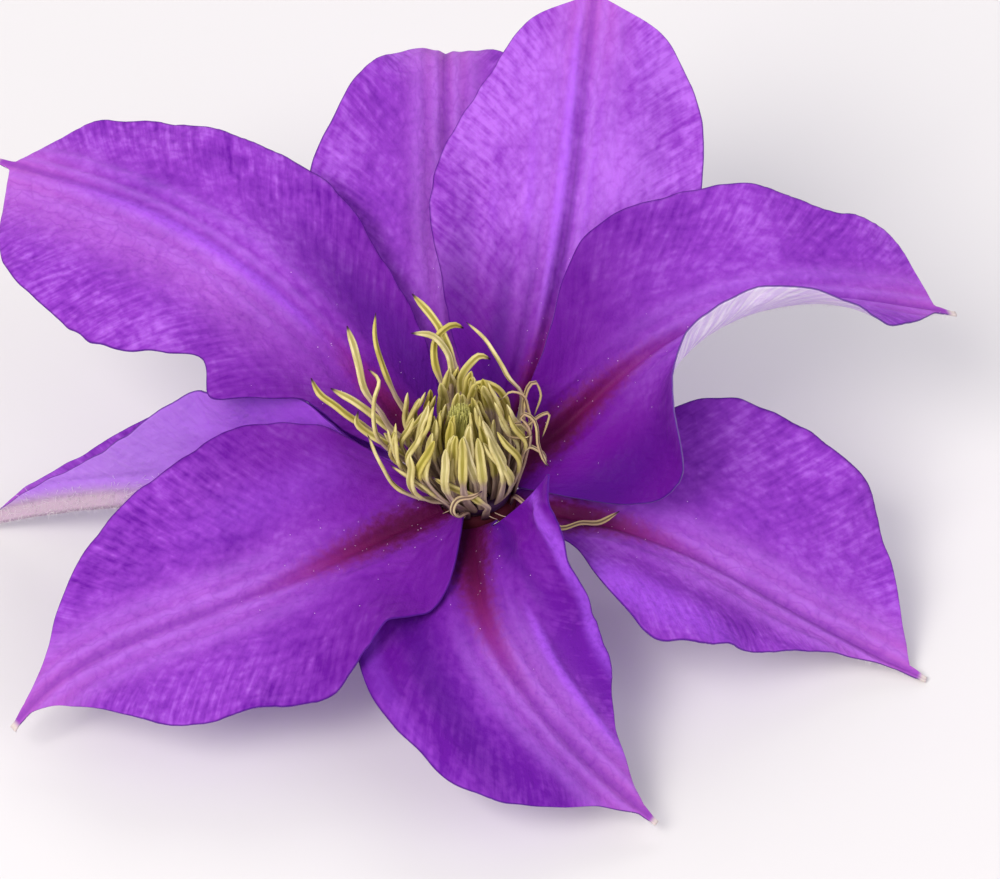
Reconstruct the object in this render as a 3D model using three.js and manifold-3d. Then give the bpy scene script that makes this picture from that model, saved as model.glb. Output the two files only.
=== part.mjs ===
// Clematis flower, picked and lying on a surface: eight pointed sepals round a head of stamens and styles,
// on a short bent stalk.
// Millimetres, +Z up. The front sepal points to -Y and the top sepal leans back towards +Y.
// The flower is laid out round the middle of its whorl and moved onto its resting plane at the end.
import * as THREE from "three";
import Module from "manifold-3d";
import { mergeVertices } from "three/addons/utils/BufferGeometryUtils.js";

// Sepal blades
const SEPAL_THICKNESS = 0.7;
const SEPAL_STEPS_LONG = 24;
const SEPAL_STEPS_WIDE = 4;
// share of a sepal's length that its drawn-out point takes, where its outline may start, and its half widths
const POINT_SHARE = 0.045;
const POINT_START = 0.6;
const POINT_WIDE = 0.9;
const POINT_END = 0.12;
// halves narrower than this are waved less
const RIPPLE_WIDTH = 8;
// short steps inside each long step of the midrib, and inside each step across
const MIDRIB_PARTS = 8;
const ACROSS_PARTS = 6;
// the inner ends are drawn in to a circle round the receptacle, over this share of the length
const BASE_RADIUS = 6.75;
const BASE_SHARE = 0.12;

// Each sepal is laid out along its midrib. Angles are in degrees, lengths in millimetres.
// length   length of the midrib
// foot     distance of its inner end from the flower's axis, and that end's height
// seat     direction from the axis to its inner end, anticlockwise from +X
// pitch    rise of the midrib, at even steps from the inner end to the tip
// heading  direction of the midrib in plan, at the same kind of steps
// roll     turn of the blade about the midrib, positive lifts the left side
// left, right            half widths along the blade, left and right as seen looking out from the axis
// foldLeft, foldRight    rise of each half from the midrib
// curlLeft, curlRight    further rise gathered between the midrib and the margin
// rippleLeft, rippleRight  height of the waves at the margin, waves in the length, start in turns
const SEPALS = [
  {
    name: "sepal_upper_left",
    length: 89.5,
    foot: [7, -0.6],
    seat: 132,
    pitch: [30, 32, 15.5, -4, -9],
    heading: [140, 147, 149],
    roll: [0],
    left: [2.9, 4.6, 6.5, 8.2, 9.6, 14.6, 19.6, 15.6, 18.8, 22, 23.2, 22.6, 21.4, 19.8, 17.4, 12.5, 0.5],
    right: [4, 6.5, 9, 11.3, 13.5, 15.2, 16.5, 17.5, 17.6, 17, 16, 15.4, 15.4, 15.6, 14.8, 11, 0.5],
    foldLeft: [0, -10, -15, -15],
    foldRight: [10, 12, 6],
    curlLeft: [0],
    curlRight: [0],
    rippleLeft: [0.7, 4, 0.1],
    rippleRight: [0.5, 4.5, 0.4],
  },
  {
    name: "sepal_back",
    length: 75.8,
    foot: [7, -2.4],
    seat: 98,
    pitch: [14, 30, 32, 34, 34, 28, -5, -60],
    heading: [98, 93, 90],
    roll: [0],
    left: [4, 9, 15, 19, 22, 21.4, 17.6, 11.6, 0.5],
    right: [3, 8, 13, 17, 20, 20, 18, 12, 0.5],
    foldLeft: [8, 3, 0, 2, 16, 16],
    foldRight: [10, 6, 3, 2, 12, 12],
    curlLeft: [0],
    curlRight: [0],
    rippleLeft: [0.6, 4, 0.3],
    rippleRight: [0.5, 4, 0],
  },
  {
    name: "sepal_top",
    length: 78.5,
    foot: [7, -1.1],
    seat: 53,
    pitch: [26, 33, 35, 35, 33],
    heading: [66, 76, 82, 82],
    roll: [0],
    left: [4, 6.5, 9, 11.5, 14, 16, 17.5, 19.4, 20.8, 21.2, 20.4, 18.8, 16.8, 14.6, 12.2, 9, 0.5],
    right: [2.5, 6.5, 10, 13, 15, 16.2, 17, 17.7, 18.4, 19, 19.2, 19, 18.2, 16.6, 14, 10, 0.5],
    foldLeft: [10, 5, 0],
    foldRight: [10, 2, -8],
    curlLeft: [0],
    curlRight: [0],
    rippleLeft: [0.8, 4, 0.6],
    rippleRight: [0.6, 4.5, 0.2],
  },
  {
    name: "sepal_upper_right",
    length: 77,
    foot: [7, 0.6],
    seat: 33,
    pitch: [25, 31, 9, -18, -22],
    heading: [36, 28, 18, 15, 14],
    roll: [0],
    left: [3.5, 5.5, 7.5, 9.8, 12.5, 16.8, 20, 21, 21, 20.9, 20.3, 18.8, 16.8, 15.2, 14.6, 11.6, 0.5],
    right: [4, 17.5, 21, 16.5, 14.5, 14, 12, 8, 0.5],
    foldLeft: [12, 42, 36, 30, 24, 20, 20, 20, 20],
    foldRight: [0, -5, 0, 14, 26, 34, 30, 18, 15],
    curlLeft: [0],
    curlRight: [0, 0, 0, 55, 62, 30, 0, 0, 0],
    rippleLeft: [0.6, 5, 0.2],
    rippleRight: [0.4, 3, 0.5],
  },
  {
    name: "sepal_lower_right",
    length: 66,
    foot: [7, -2.2],
    seat: -20,
    pitch: [8, -14, -27.5, -23, -20],
    heading: [-8, -12, -16, -18],
    roll: [0],
    left: [4, 11, 19.5, 25, 26, 25, 22, 12.5, 0.5],
    right: [4, 5, 15, 19.5, 17, 12, 7, 2.5, 0.5],
    foldLeft: [5, 25, 25, 20],
    foldRight: [5, 8, 10],
    curlLeft: [0],
    curlRight: [0],
    rippleLeft: [0.9, 3.5, 0.1],
    rippleRight: [0.7, 4, 0.3],
  },
  {
    name: "sepal_front",
    length: 55,
    foot: [7, -1.8],
    seat: -92,
    pitch: [4, -10, -25, -29, -32],
    heading: [-92, -77, -50, -35, -27],
    roll: [0],
    left: [4.6, 9.2, 23.4, 18.8, 17, 15.6, 14.8, 14.6, 14.4, 14, 13, 11, 8.5, 6, 4, 2.2, 0.5],
    right: [4, 11, 18, 19.5, 18.5, 17, 12.5, 5, 0.5],
    foldLeft: [14, 36, 27, 11, 5, 5, 5, 5, 5],
    foldRight: [-14, -6, -4],
    curlLeft: [14, 52, 34, 10, 0, 0, 0, 0, 0],
    curlRight: [0],
    rippleLeft: [0.5, 4, 0],
    rippleRight: [0.8, 4, 0.5],
  },
  {
    name: "sepal_lower_left",
    length: 70.5,
    foot: [7, -0.6],
    seat: -145,
    pitch: [-6, -10, -6, -14, -54],
    heading: [-153, -157, -158, -152],
    roll: [0],
    left: [6.5, 13.5, 15.5, 15.8, 17, 18.8, 20.5, 20.2, 19, 18, 17, 15.5, 13.5, 10, 6, 2.4, 0.5],
    right: [3, 11, 17.5, 20.6, 22.6, 23.8, 23.6, 23.2, 22.5, 21.2, 19.5, 17.4, 14.5, 10, 5, 2.2, 0.5],
    foldLeft: [8, -5, -12, -12],
    foldRight: [25, 34, 28, 24, 20],
    curlLeft: [0],
    curlRight: [0],
    rippleLeft: [1, 4, 0.2],
    rippleRight: [0.8, 4.5, 0.6],
  },
  {
    name: "sepal_left_folded",
    length: 75,
    foot: [7, -2.4],
    seat: 165,
    pitch: [-8, -12, -14, -18, -30],
    heading: [170],
    roll: [35, 45, 45],
    left: [2.6, 6.5, 13.5, 15.5, 15, 11, 7, 4, 0.5],
    right: [2.5, 8, 13.5, 15.5, 15, 12, 8, 4.5, 0.5],
    foldLeft: [55, 66, 62, 60, 60],
    foldRight: [35, 95, 100],
    curlLeft: [0],
    curlRight: [0],
    rippleLeft: [0.6, 4, 0.3],
    rippleRight: [0.5, 3, 0.7],
  },
];

// Receptacle: radius and height pairs from the stalk up to its flat top
const RECEPTACLE_PROFILE = [
  [1.6, -9],
  [2.4, -6.4],
  [4.2, -4.8],
  [5.6, -3.8],
  [5.9, -2.8],
  [5.9, -0.6],
  [5.2, 0],
];
const RECEPTACLE_SIDES = 28;

// Stalk, bent back under the flower so that its cut end lies on the surface
const STALK_RADIUS = 1.5;
const STALK_SIDES = 10;
const STALK_STEPS = 12;
const STALK_PATH = [
  [0, 0, -7.5],
  [0, 1.4, -12],
  [0, 5.8, -16.6],
  [0, 12.5, -19.8],
  [0, 20.5, -21.2],
  [0, 29, -21.35],
];

// Ring that the stamens grow from: radius and height pairs round its section
const RING_SECTION = [
  [2.95, 0.5],
  [5.8, 0.5],
  [6.3, 1.6],
  [5.9, 2.5],
  [2.95, 2.5],
];
const RING_SIDES = 28;

// Stamens are flat straps: width across, thickness, and the height of their roots inside the ring
const STAMEN_WIDTH = 1.4;
const STAMEN_THICKNESS = 0.8;
const STAMEN_STEPS = 6;
const STAMEN_ROOT_HEIGHT = 1.6;
// share of the full section at even steps from root to tip
const STAMEN_TAPER = [0.85, 0.8, 0.95, 1, 0.9, 0.45];
// The head leans over by this much in X and Y at the height HEAD_HEIGHT, most of it low down
const HEAD_LEAN = [-2.3, 1.3];
const HEAD_HEIGHT = 17;

// Upright stamens of the closed inner bundle, in rings from the inside out: radius at the root, at the
// widest place and at the top, height, and the direction of the first one
const BUNDLE = [
  { count: 9, root: 3.7, belly: 4.6, top: 3.5, height: 15.4, start: 10 },
  { count: 14, root: 4.6, belly: 6.6, top: 4.7, height: 16.2, start: 0 },
  { count: 20, root: 5.4, belly: 8.8, top: 6.2, height: 16, start: 20 },
];
// how far each stamen strays: in steps of the ring, in millimetres, and in degrees of swing round the axis
const BUNDLE_STRAY = {
  turn: [-0.25, 0.25],
  belly: [-0.4, 0.5],
  top: [-0.5, 0.9],
  height: [-1.6, 1.8],
  swing: [-14, 14],
};
const BUNDLE_SEED = 4121;

// Long loose stamens, each a path from the ring to its tip
const LOOSE_STAMENS = [
  [[-1.5, 5.2], [-2.2, 8, 10.7], [-2.6, 9.5, 14.2], [-3.5, 11.2, 17.3], [-5.4, 13.5, 20.6], [-9.3, 17, 24]],
  [[-3, 4.6], [-4, 7.5, 11.2], [-6, 10, 17], [-5.9, 12, 19.4], [-3.7, 13.5, 20.8], [-1.8, 14.5, 19.4]],
  [[-3.8, 4.2], [-3.6, 8, 11], [-4, 10.5, 18], [-6.3, 11.5, 20.7], [-9.4, 11, 21.6]],
  [[-4.6, 3.4], [-11.2, 7.5, 11], [-12.4, 8.5, 13.5], [-13.8, 10, 17], [-14.6, 11.5, 20], [-14.6, 14, 23]],
  [[-5.2, 2.6], [-12.6, 4.5, 9], [-13.8, 5.5, 10.9], [-16.2, 7, 13.8], [-17.2, 9.5, 17.5], [-18.7, 12, 22.3]],
  [[-5.5, 1.6], [-13, 3.5, 7], [-18.4, 5.5, 10.1], [-20.4, 6.5, 11.2], [-22.9, 7.5, 12.9], [-24, 8.5, 15.2]],
  [[-5.3, 2.2], [-13, 5, 8.5], [-18, 7, 12], [-21.2, 8.5, 13.1]],
  [[-5.7, 1.2], [-12.5, 2.5, 7], [-17.4, 4, 10.3], [-17.2, 5, 11.8]],
  [[-5.8, 0.5], [-14.3, 1.4, 10], [-14.8, 4, 14.5], [-14.1, 6.9, 16], [-15.7, 8.4, 17]],
  [[4.5, 3.8], [6.6, 8.4, 12], [4.5, 10, 14.5], [2.9, 11.5, 16.8], [1.2, 13, 18.8], [-1.5, 14.5, 20.6]],
  [[-0.8, 5.8], [-2, 8, 10], [-2.1, 9.2, 14.5], [0.3, 11, 17.1], [2.1, 11.4, 16]],
  [[-1.3, 4.6], [-1, 6, 9], [-1, 6.7, 12.2], [0.6, 7.5, 15], [3.2, 7.5, 13.7], [5.3, 7, 9.8]],
  [[5, 3], [7, 5, 9.5], [7.1, 7.1, 12], [8.7, 8.7, 14], [9.6, 8.4, 12], [8.4, 6.2, 9]],
  [[5.8, 1], [7, 2.4, 9.5], [8.7, 3.8, 11], [10.7, 4.4, 12], [9.6, 2.5, 8.5]],
  [[5.9, -0.6], [7.8, 0.6, 9], [9.6, 0.1, 8], [10.1, -0.8, 5.8]],
  [[5.6, -2.4], [8.2, -4.7, 1.1], [11.3, -6.3, -0.3], [16.2, -5.9, -0.2], [19.4, -4.9, -0.2], [21, -3.9, 0]],
  [[-1.3, -5.8], [-2.6, -7.7, 2.8], [-3.4, -7.9, 4.2], [-2.4, -7.6, 6.2], [0.9, -7.4, 8]],
  [[1.5, -5.8], [1.7, -6.8, 3.9], [-0.1, -6.9, 5.7], [-3.7, -6.6, 7.8], [-6.3, -6, 9.3]],
  [[-5, -3.2], [-8, -3.8, 2.6], [-11.5, -3.5, 4.4], [-13.8, -2.5, 8.3], [-15.7, -1.1, 13]],
  [[-3.6, -4.9], [-7.9, -5, 6.2], [-10.4, -4.2, 8], [-12.4, -3.5, 9.3]],
];

// Styles: a narrow core that carries the loose ends of the styles
const STYLE_CORE = [
  [1.75, 0.5],
  [1.9, 3],
  [2.2, 6.5],
  [2.2, 10],
  [1.7, 13.2],
  [0.7, 15],
];
const STYLE_CORE_SIDES = 12;
const STYLE_COUNT = 9;
const STYLE_ROOT = 1.2;
const STYLE_SPREAD = 1.7;
const STYLE_HEIGHT = 16.4;
const STYLE_WIDTH = 0.8;
const STYLE_STEPS = 4;
const STYLE_TAPER = [1, 1, 0.9, 0.7];
const STYLE_STRAY = { turn: [-0.2, 0.2], height: [-1.2, 0.4], spread: [-0.5, 0.1] };
const STYLE_SEED = 77;

// Points closer than this are one point of a solid
const MERGE_DISTANCE = 1e-4;

// Colours of the nodes
const SEPAL_COLOUR = 0x8232be;
const RECEPTACLE_COLOUR = 0x7d8a4a;
const STAMEN_COLOUR = 0xdcd296;
const STYLE_COLOUR = 0xa8b062;

const wasm = await Module();
wasm.setup();

const radians = THREE.MathUtils.degToRad;

// Value at a share 0..1 of the way along evenly spaced stations, on a smooth curve through them.
function along(values, share) {
  const last = values.length - 1;
  if (last === 0) return values[0];
  const x = Math.min(Math.max(share, 0), 1) * last;
  const i = Math.min(Math.floor(x), last - 1);
  const t = x - i;
  const p1 = values[i];
  const p2 = values[i + 1];
  const p0 = i === 0 ? 2 * p1 - p2 : values[i - 1];
  const p3 = i + 2 > last ? 2 * p2 - p1 : values[i + 2];
  const a = p2 - p0;
  const b = 2 * p0 - 5 * p1 + 4 * p2 - p3;
  const c = 3 * p1 - p0 - 3 * p2 + p3;
  return 0.5 * (2 * p1 + a * t + b * t * t + c * t * t * t);
}

// The same seeded draws every time.
function drawer(seed) {
  let state = seed;
  return (low, high) => {
    state = (state * 16807) % 2147483647;
    return low + ((high - low) * state) / 2147483647;
  };
}

// Half width of a sepal at a share of its length, with the drawn-out point added.
function halfWidth(values, share) {
  const blade = Math.max(along(values, Math.min(share / (1 - POINT_SHARE), 1)), 0);
  if (share <= POINT_START) return blade;
  const rest = Math.min(Math.max((1 - share) / (2 * POINT_SHARE), 0), 1);
  return Math.max(blade, POINT_WIDE * Math.sqrt(rest) + POINT_END);
}

// Middle surface of a sepal: rows from the inner end to the tip, each from the right margin to the left.
function sepalGrid(q) {
  const fine = MIDRIB_PARTS;
  const inner = ACROSS_PARTS;
  const steps = SEPAL_STEPS_LONG;
  const half = SEPAL_STEPS_WIDE;
  const direction = (share) => {
    const pitch = radians(along(q.pitch, share));
    const heading = radians(along(q.heading, share));
    const level = Math.cos(pitch);
    return new THREE.Vector3(level * Math.cos(heading), level * Math.sin(heading), Math.sin(pitch));
  };
  const seat = radians(q.seat);
  const point = new THREE.Vector3(q.foot[0] * Math.cos(seat), q.foot[0] * Math.sin(seat), q.foot[1]);
  const rows = [];
  for (let i = 0; i <= steps; i++) {
    const share = i / steps;
    if (i > 0) {
      for (let k = 0; k < fine; k++) {
        const from = direction((i - 1 + k / fine) / steps);
        const to = direction((i - 1 + (k + 1) / fine) / steps);
        point.addScaledVector(from.add(to), (0.5 * q.length) / (steps * fine));
      }
    }
    const ahead = direction(share);
    const heading = radians(along(q.heading, share));
    const flatSide = new THREE.Vector3(-Math.sin(heading), Math.cos(heading), 0);
    const flatUp = ahead.clone().cross(flatSide);
    const roll = radians(along(q.roll, share));
    const side = flatSide.clone().multiplyScalar(Math.cos(roll)).addScaledVector(flatUp, Math.sin(roll));
    const up = flatUp.multiplyScalar(Math.cos(roll)).addScaledVector(flatSide, -Math.sin(roll));
    const row = new Array(2 * half + 1);
    row[half] = point.clone();
    const halves = [
      [1, q.left, q.foldLeft, q.curlLeft, q.rippleLeft],
      [-1, q.right, q.foldRight, q.curlRight, q.rippleRight],
    ];
    for (const [sign, widths, folds, curls, ripple] of halves) {
      const width = halfWidth(widths, share);
      const fold = radians(along(folds, share));
      const curl = radians(along(curls, share));
      const fullness = Math.min(1, width / RIPPLE_WIDTH);
      const wave = Math.sin(2 * Math.PI * (ripple[1] * share + ripple[2])) * fullness;
      let across = 0;
      let rise = 0;
      for (let j = 1; j <= half; j++) {
        for (let k = 0; k < inner; k++) {
          const angle = fold + (curl * (j - 1 + (k + 0.5) / inner)) / half;
          across += (Math.cos(angle) * width) / (half * inner);
          rise += (Math.sin(angle) * width) / (half * inner);
        }
        const out = j / half;
        const angle = fold + curl * out;
        const lift = ripple[0] * out * out * wave;
        row[half + sign * j] = point
          .clone()
          .addScaledVector(side, sign * (across - Math.sin(angle) * lift))
          .addScaledVector(up, rise + Math.cos(angle) * lift);
      }
    }
    // the inner end is drawn in towards the circle round the receptacle
    const pull = Math.max(1 - share / BASE_SHARE, 0) ** 2;
    for (const p of row) {
      const size = 1 - pull * Math.max(1 - BASE_RADIUS / Math.hypot(p.x, p.y), 0);
      p.x *= size;
      p.y *= size;
    }
    rows.push(row);
  }
  return rows;
}

// Closed blade of even thickness on both sides of a grid, its two faces split into the same triangles.
function bladeGeometry(rows, thickness) {
  const high = rows.length;
  const wide = rows[0].length;
  const at = (i, j) => i * wide + j;
  const faces = [];
  for (let i = 0; i + 1 < high; i++) {
    for (let j = 0; j + 1 < wide; j++) {
      const a = at(i, j);
      const b = at(i + 1, j);
      const c = at(i + 1, j + 1);
      const d = at(i, j + 1);
      if (rows[i][j].distanceTo(rows[i + 1][j + 1]) < rows[i + 1][j].distanceTo(rows[i][j + 1])) {
        faces.push([a, b, c], [a, c, d]);
      } else {
        faces.push([a, b, d], [b, c, d]);
      }
    }
  }
  const points = rows.flat();
  const normals = points.map(() => new THREE.Vector3());
  for (const [a, b, c] of faces) {
    const edge = points[b].clone().sub(points[a]);
    const face = edge.cross(points[c].clone().sub(points[a]));
    normals[a].add(face);
    normals[b].add(face);
    normals[c].add(face);
  }
  normals.forEach((n) => n.normalize());
  const count = points.length;
  const positions = [];
  for (const sign of [1, -1]) {
    points.forEach((p, i) => {
      const moved = p.clone().addScaledVector(normals[i], (sign * thickness) / 2);
      positions.push(moved.x, moved.y, moved.z);
    });
  }
  const index = [];
  for (const [a, b, c] of faces) {
    index.push(a, b, c);
    index.push(count + a, count + c, count + b);
  }
  const rim = [];
  for (let i = 0; i + 1 < high; i++) rim.push(at(i, 0));
  for (let j = 0; j + 1 < wide; j++) rim.push(at(high - 1, j));
  for (let i = high - 1; i > 0; i--) rim.push(at(i, wide - 1));
  for (let j = wide - 1; j > 0; j--) rim.push(at(0, j));
  rim.forEach((a, k) => {
    const b = rim[(k + 1) % rim.length];
    index.push(a, count + a, count + b);
    index.push(a, count + b, b);
  });
  const geometry = new THREE.BufferGeometry();
  geometry.setAttribute("position", new THREE.Float32BufferAttribute(positions, 3));
  geometry.setIndex(index);
  return geometry;
}

// Closed solid from rings of points that follow each other, the first and last ring capped.
function ringsGeometry(rings) {
  const sides = rings[0].length;
  const positions = rings.flat().flatMap((p) => [p.x, p.y, p.z]);
  const index = [];
  for (let i = 0; i + 1 < rings.length; i++) {
    for (let k = 0; k < sides; k++) {
      const a = i * sides + k;
      const b = i * sides + ((k + 1) % sides);
      index.push(a, b, b + sides, a, b + sides, a + sides);
    }
  }
  const top = (rings.length - 1) * sides;
  for (let k = 1; k + 1 < sides; k++) {
    index.push(0, k + 1, k);
    index.push(top, top + k, top + k + 1);
  }
  const geometry = new THREE.BufferGeometry();
  geometry.setAttribute("position", new THREE.Float32BufferAttribute(positions, 3));
  geometry.setIndex(index);
  return geometry;
}

// Rings of points round a path; the section keeps its flat side square to the first side direction.
function sweepGeometry(path, steps, firstSide, section) {
  const curve = new THREE.CatmullRomCurve3(path, false, "centripetal");
  const side = firstSide.clone();
  const rings = [];
  for (let i = 0; i <= steps; i++) {
    const share = i / steps;
    const tangent = curve.getTangentAt(share);
    side.addScaledVector(tangent, -side.dot(tangent)).normalize();
    const up = tangent.clone().cross(side);
    const centre = curve.getPointAt(share);
    rings.push(
      section(share).map(([x, y]) => centre.clone().addScaledVector(side, x).addScaledVector(up, y)),
    );
  }
  return ringsGeometry(rings);
}

// Surface turned about the Z axis from radius and height pairs that run upwards on the outside.
function turnedGeometry(profile, sides) {
  const rings = profile.map(([radius, height]) => {
    const ring = [];
    for (let k = 0; k < sides; k++) {
      const turn = (2 * Math.PI * k) / sides;
      ring.push(new THREE.Vector3(radius * Math.cos(turn), radius * Math.sin(turn), height));
    }
    return ring;
  });
  return ringsGeometry(rings);
}

// Manifold solid of a closed geometry, and back.
function solidOf(geometry) {
  const bare = geometry.clone();
  bare.deleteAttribute("normal");
  bare.deleteAttribute("uv");
  const merged = mergeVertices(bare, MERGE_DISTANCE);
  return new wasm.Manifold(
    new wasm.Mesh({
      numProp: 3,
      vertProperties: merged.attributes.position.array,
      triVerts: new Uint32Array(merged.index.array),
    }),
  );
}

function geometryOf(solid) {
  const mesh = solid.getMesh();
  const positions = [];
  for (let i = 0; i < mesh.numVert; i++) {
    positions.push(...mesh.vertProperties.subarray(i * mesh.numProp, i * mesh.numProp + 3));
  }
  const geometry = new THREE.BufferGeometry();
  geometry.setAttribute("position", new THREE.Float32BufferAttribute(positions, 3));
  geometry.setIndex(Array.from(mesh.triVerts));
  return geometry;
}

function fused(geometries) {
  const solids = geometries.map(solidOf);
  return geometryOf(solids.slice(1).reduce((sum, solid) => sum.add(solid), solids[0]));
}

// Point of the head at a radius, a turn about the axis and a height, with the head's lean.
function lean(radius, turn, height) {
  const share = 1 - (1 - height / HEAD_HEIGHT) ** 2;
  const x = radius * Math.cos(turn) + HEAD_LEAN[0] * share;
  const y = radius * Math.sin(turn) + HEAD_LEAN[1] * share;
  return new THREE.Vector3(x, y, height);
}

// Flat strap along a path, four-sided, tapering to its tip.
function strapGeometry(path, width, thickness, steps, taper) {
  const turn = Math.atan2(path[0].y, path[0].x);
  const side = new THREE.Vector3(-Math.sin(turn), Math.cos(turn), 0);
  return sweepGeometry(path, steps, side, (share) => {
    const size = along(taper, share);
    const x = 0.5 * width * size;
    const y = 0.5 * thickness * Math.max(size, 0.75);
    return [
      [x, y],
      [-x, y],
      [-x, -y],
      [x, -y],
    ];
  });
}

function stamenPaths() {
  const draw = drawer(BUNDLE_SEED);
  const paths = [];
  for (const ring of BUNDLE) {
    for (let k = 0; k < ring.count; k++) {
      const step = 360 / ring.count;
      const turn = radians(ring.start + step * (k + draw(...BUNDLE_STRAY.turn)));
      const belly = ring.belly + draw(...BUNDLE_STRAY.belly);
      const top = ring.top + draw(...BUNDLE_STRAY.top);
      const height = ring.height + draw(...BUNDLE_STRAY.height);
      const swing = radians(draw(...BUNDLE_STRAY.swing));
      paths.push([
        lean(ring.root, turn, STAMEN_ROOT_HEIGHT),
        lean(0.45 * ring.root + 0.55 * belly, turn, 0.3 * height),
        lean(belly, turn + 0.4 * swing, 0.62 * height),
        lean(0.3 * belly + 0.7 * top, turn + 0.8 * swing, 0.86 * height),
        lean(top, turn + swing, height),
      ]);
    }
  }
  for (const [root, ...rest] of LOOSE_STAMENS) {
    paths.push([
      new THREE.Vector3(root[0], root[1], STAMEN_ROOT_HEIGHT),
      ...rest.map(([x, y, z]) => new THREE.Vector3(x, y, z)),
    ]);
  }
  return paths;
}

function stamens() {
  const outer = turnedGeometry(RING_SECTION.slice(1, 4), RING_SIDES);
  const [innerRadius, bottom] = RING_SECTION[0];
  const top = RING_SECTION[3][1];
  const hole = turnedGeometry([[innerRadius, bottom - 1], [innerRadius, top + 1]], RING_SIDES);
  const ring = solidOf(outer).subtract(solidOf(hole));
  const straps = stamenPaths().map((path) =>
    solidOf(strapGeometry(path, STAMEN_WIDTH, STAMEN_THICKNESS, STAMEN_STEPS, STAMEN_TAPER)),
  );
  return geometryOf(straps.reduce((sum, strap) => sum.add(strap), ring));
}

function styles() {
  const draw = drawer(STYLE_SEED);
  const core = turnedGeometry(STYLE_CORE, STYLE_CORE_SIDES);
  const points = core.attributes.position;
  for (let i = 0; i < points.count; i++) {
    const middle = lean(0, 0, points.getZ(i));
    points.setXY(i, points.getX(i) + middle.x, points.getY(i) + middle.y);
  }
  const ends = [];
  for (let k = 0; k < STYLE_COUNT; k++) {
    const turn = radians((360 * (k + draw(...STYLE_STRAY.turn))) / STYLE_COUNT);
    const height = STYLE_HEIGHT + draw(...STYLE_STRAY.height);
    const spread = STYLE_SPREAD + draw(...STYLE_STRAY.spread);
    const path = [
      lean(STYLE_ROOT, turn, 0.6 * height),
      lean(0.6 * STYLE_ROOT + 0.4 * spread, turn, 0.85 * height),
      lean(spread, turn, height),
    ];
    ends.push(strapGeometry(path, STYLE_WIDTH, STYLE_WIDTH, STYLE_STEPS, STYLE_TAPER));
  }
  return fused([core, ...ends]);
}

function receptacle() {
  const cup = turnedGeometry(RECEPTACLE_PROFILE, RECEPTACLE_SIDES);
  const path = STALK_PATH.map(([x, y, z]) => new THREE.Vector3(x, y, z));
  const round = [];
  for (let k = 0; k < STALK_SIDES; k++) {
    const turn = (2 * Math.PI * (k + 0.5)) / STALK_SIDES;
    round.push([STALK_RADIUS * Math.cos(turn), STALK_RADIUS * Math.sin(turn)]);
  }
  const stalk = sweepGeometry(path, STALK_STEPS, new THREE.Vector3(1, 0, 0), () => round);
  return fused([cup, stalk]);
}

const group = new THREE.Group();
group.name = "clematis_flower";

function addNode(name, geometry, colour) {
  const material = new THREE.MeshStandardMaterial({ color: colour, roughness: 0.7 });
  const mesh = new THREE.Mesh(geometry, material);
  mesh.name = name;
  group.add(mesh);
}

for (const q of SEPALS) addNode(q.name, bladeGeometry(sepalGrid(q), SEPAL_THICKNESS), SEPAL_COLOUR);
addNode("receptacle", receptacle(), RECEPTACLE_COLOUR);
addNode("stamens", stamens(), STAMEN_COLOUR);
addNode("styles", styles(), STYLE_COLOUR);

// The origin is the middle of the whole flower in plan, on the plane that it lies on.
const box = new THREE.Box3().setFromObject(group);
const middle = box.getCenter(new THREE.Vector3());
for (const mesh of group.children) mesh.geometry.translate(-middle.x, -middle.y, -box.min.z);

export default group;
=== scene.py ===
"""Looks of a picked clematis flower: eight sepals, stamens, styles, receptacle and stalk, on a pale floor."""

import math

import bpy
import numpy as np
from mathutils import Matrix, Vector


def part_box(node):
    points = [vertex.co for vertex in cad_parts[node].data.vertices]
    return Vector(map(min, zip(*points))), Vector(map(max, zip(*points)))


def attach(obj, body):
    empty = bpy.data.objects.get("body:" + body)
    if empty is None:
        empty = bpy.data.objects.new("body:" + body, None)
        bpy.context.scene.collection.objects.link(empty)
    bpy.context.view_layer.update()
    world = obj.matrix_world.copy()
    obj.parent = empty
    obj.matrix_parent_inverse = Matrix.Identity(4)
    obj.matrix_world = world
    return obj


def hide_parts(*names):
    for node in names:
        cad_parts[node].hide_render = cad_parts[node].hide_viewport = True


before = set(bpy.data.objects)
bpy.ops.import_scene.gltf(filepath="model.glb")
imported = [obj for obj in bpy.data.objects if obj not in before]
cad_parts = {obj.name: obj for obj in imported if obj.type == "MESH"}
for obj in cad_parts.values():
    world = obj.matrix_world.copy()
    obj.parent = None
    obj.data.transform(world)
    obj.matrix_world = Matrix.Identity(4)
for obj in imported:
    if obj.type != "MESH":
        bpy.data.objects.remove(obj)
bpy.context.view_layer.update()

MM = 0.001

# The sepals' blades are drawn finer than the solids, on the same middle surface.
BLADE_ROWS = 190
BLADE_COLUMNS = 30
BLADE_THICK_MIDRIB = 0.5
BLADE_THICK_MARGIN = 0.26
POINT_SHARE = 0.045
POINT_WIDE = 0.9
POINT_END = 0.12
# The inner ends are drawn in to a circle round the receptacle, over this share of the length
BASE_RADIUS = 5.85
BASE_SHARE = 0.12

# Relief of a blade, in mm: raised ribs beside the midrib, a groove along it, crinkles, buckles and pleats.
# It fades over a share of the length at both ends
RELIEF_END = 0.12
RIB_OFFSETS = (-4.4, -1.7, 1.7, 4.4)
RIB_HEIGHT = 0.3
RIB_HALF_WIDTH = 0.62
GROOVE_DEPTH = 0.3
GROOVE_HALF_WIDTH = 0.7
CRINKLE_HEIGHT = 0.2
CRINKLE_SPACING = 1.5
CRINKLE_LENGTH = 3.6
BUCKLE_HEIGHT = 0.45
BUCKLE_SIZE = 7.0
PLEAT_HEIGHT = 0.26
PLEAT_SPACING = 3.4
PLEAT_LENGTH = 26.0
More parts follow.
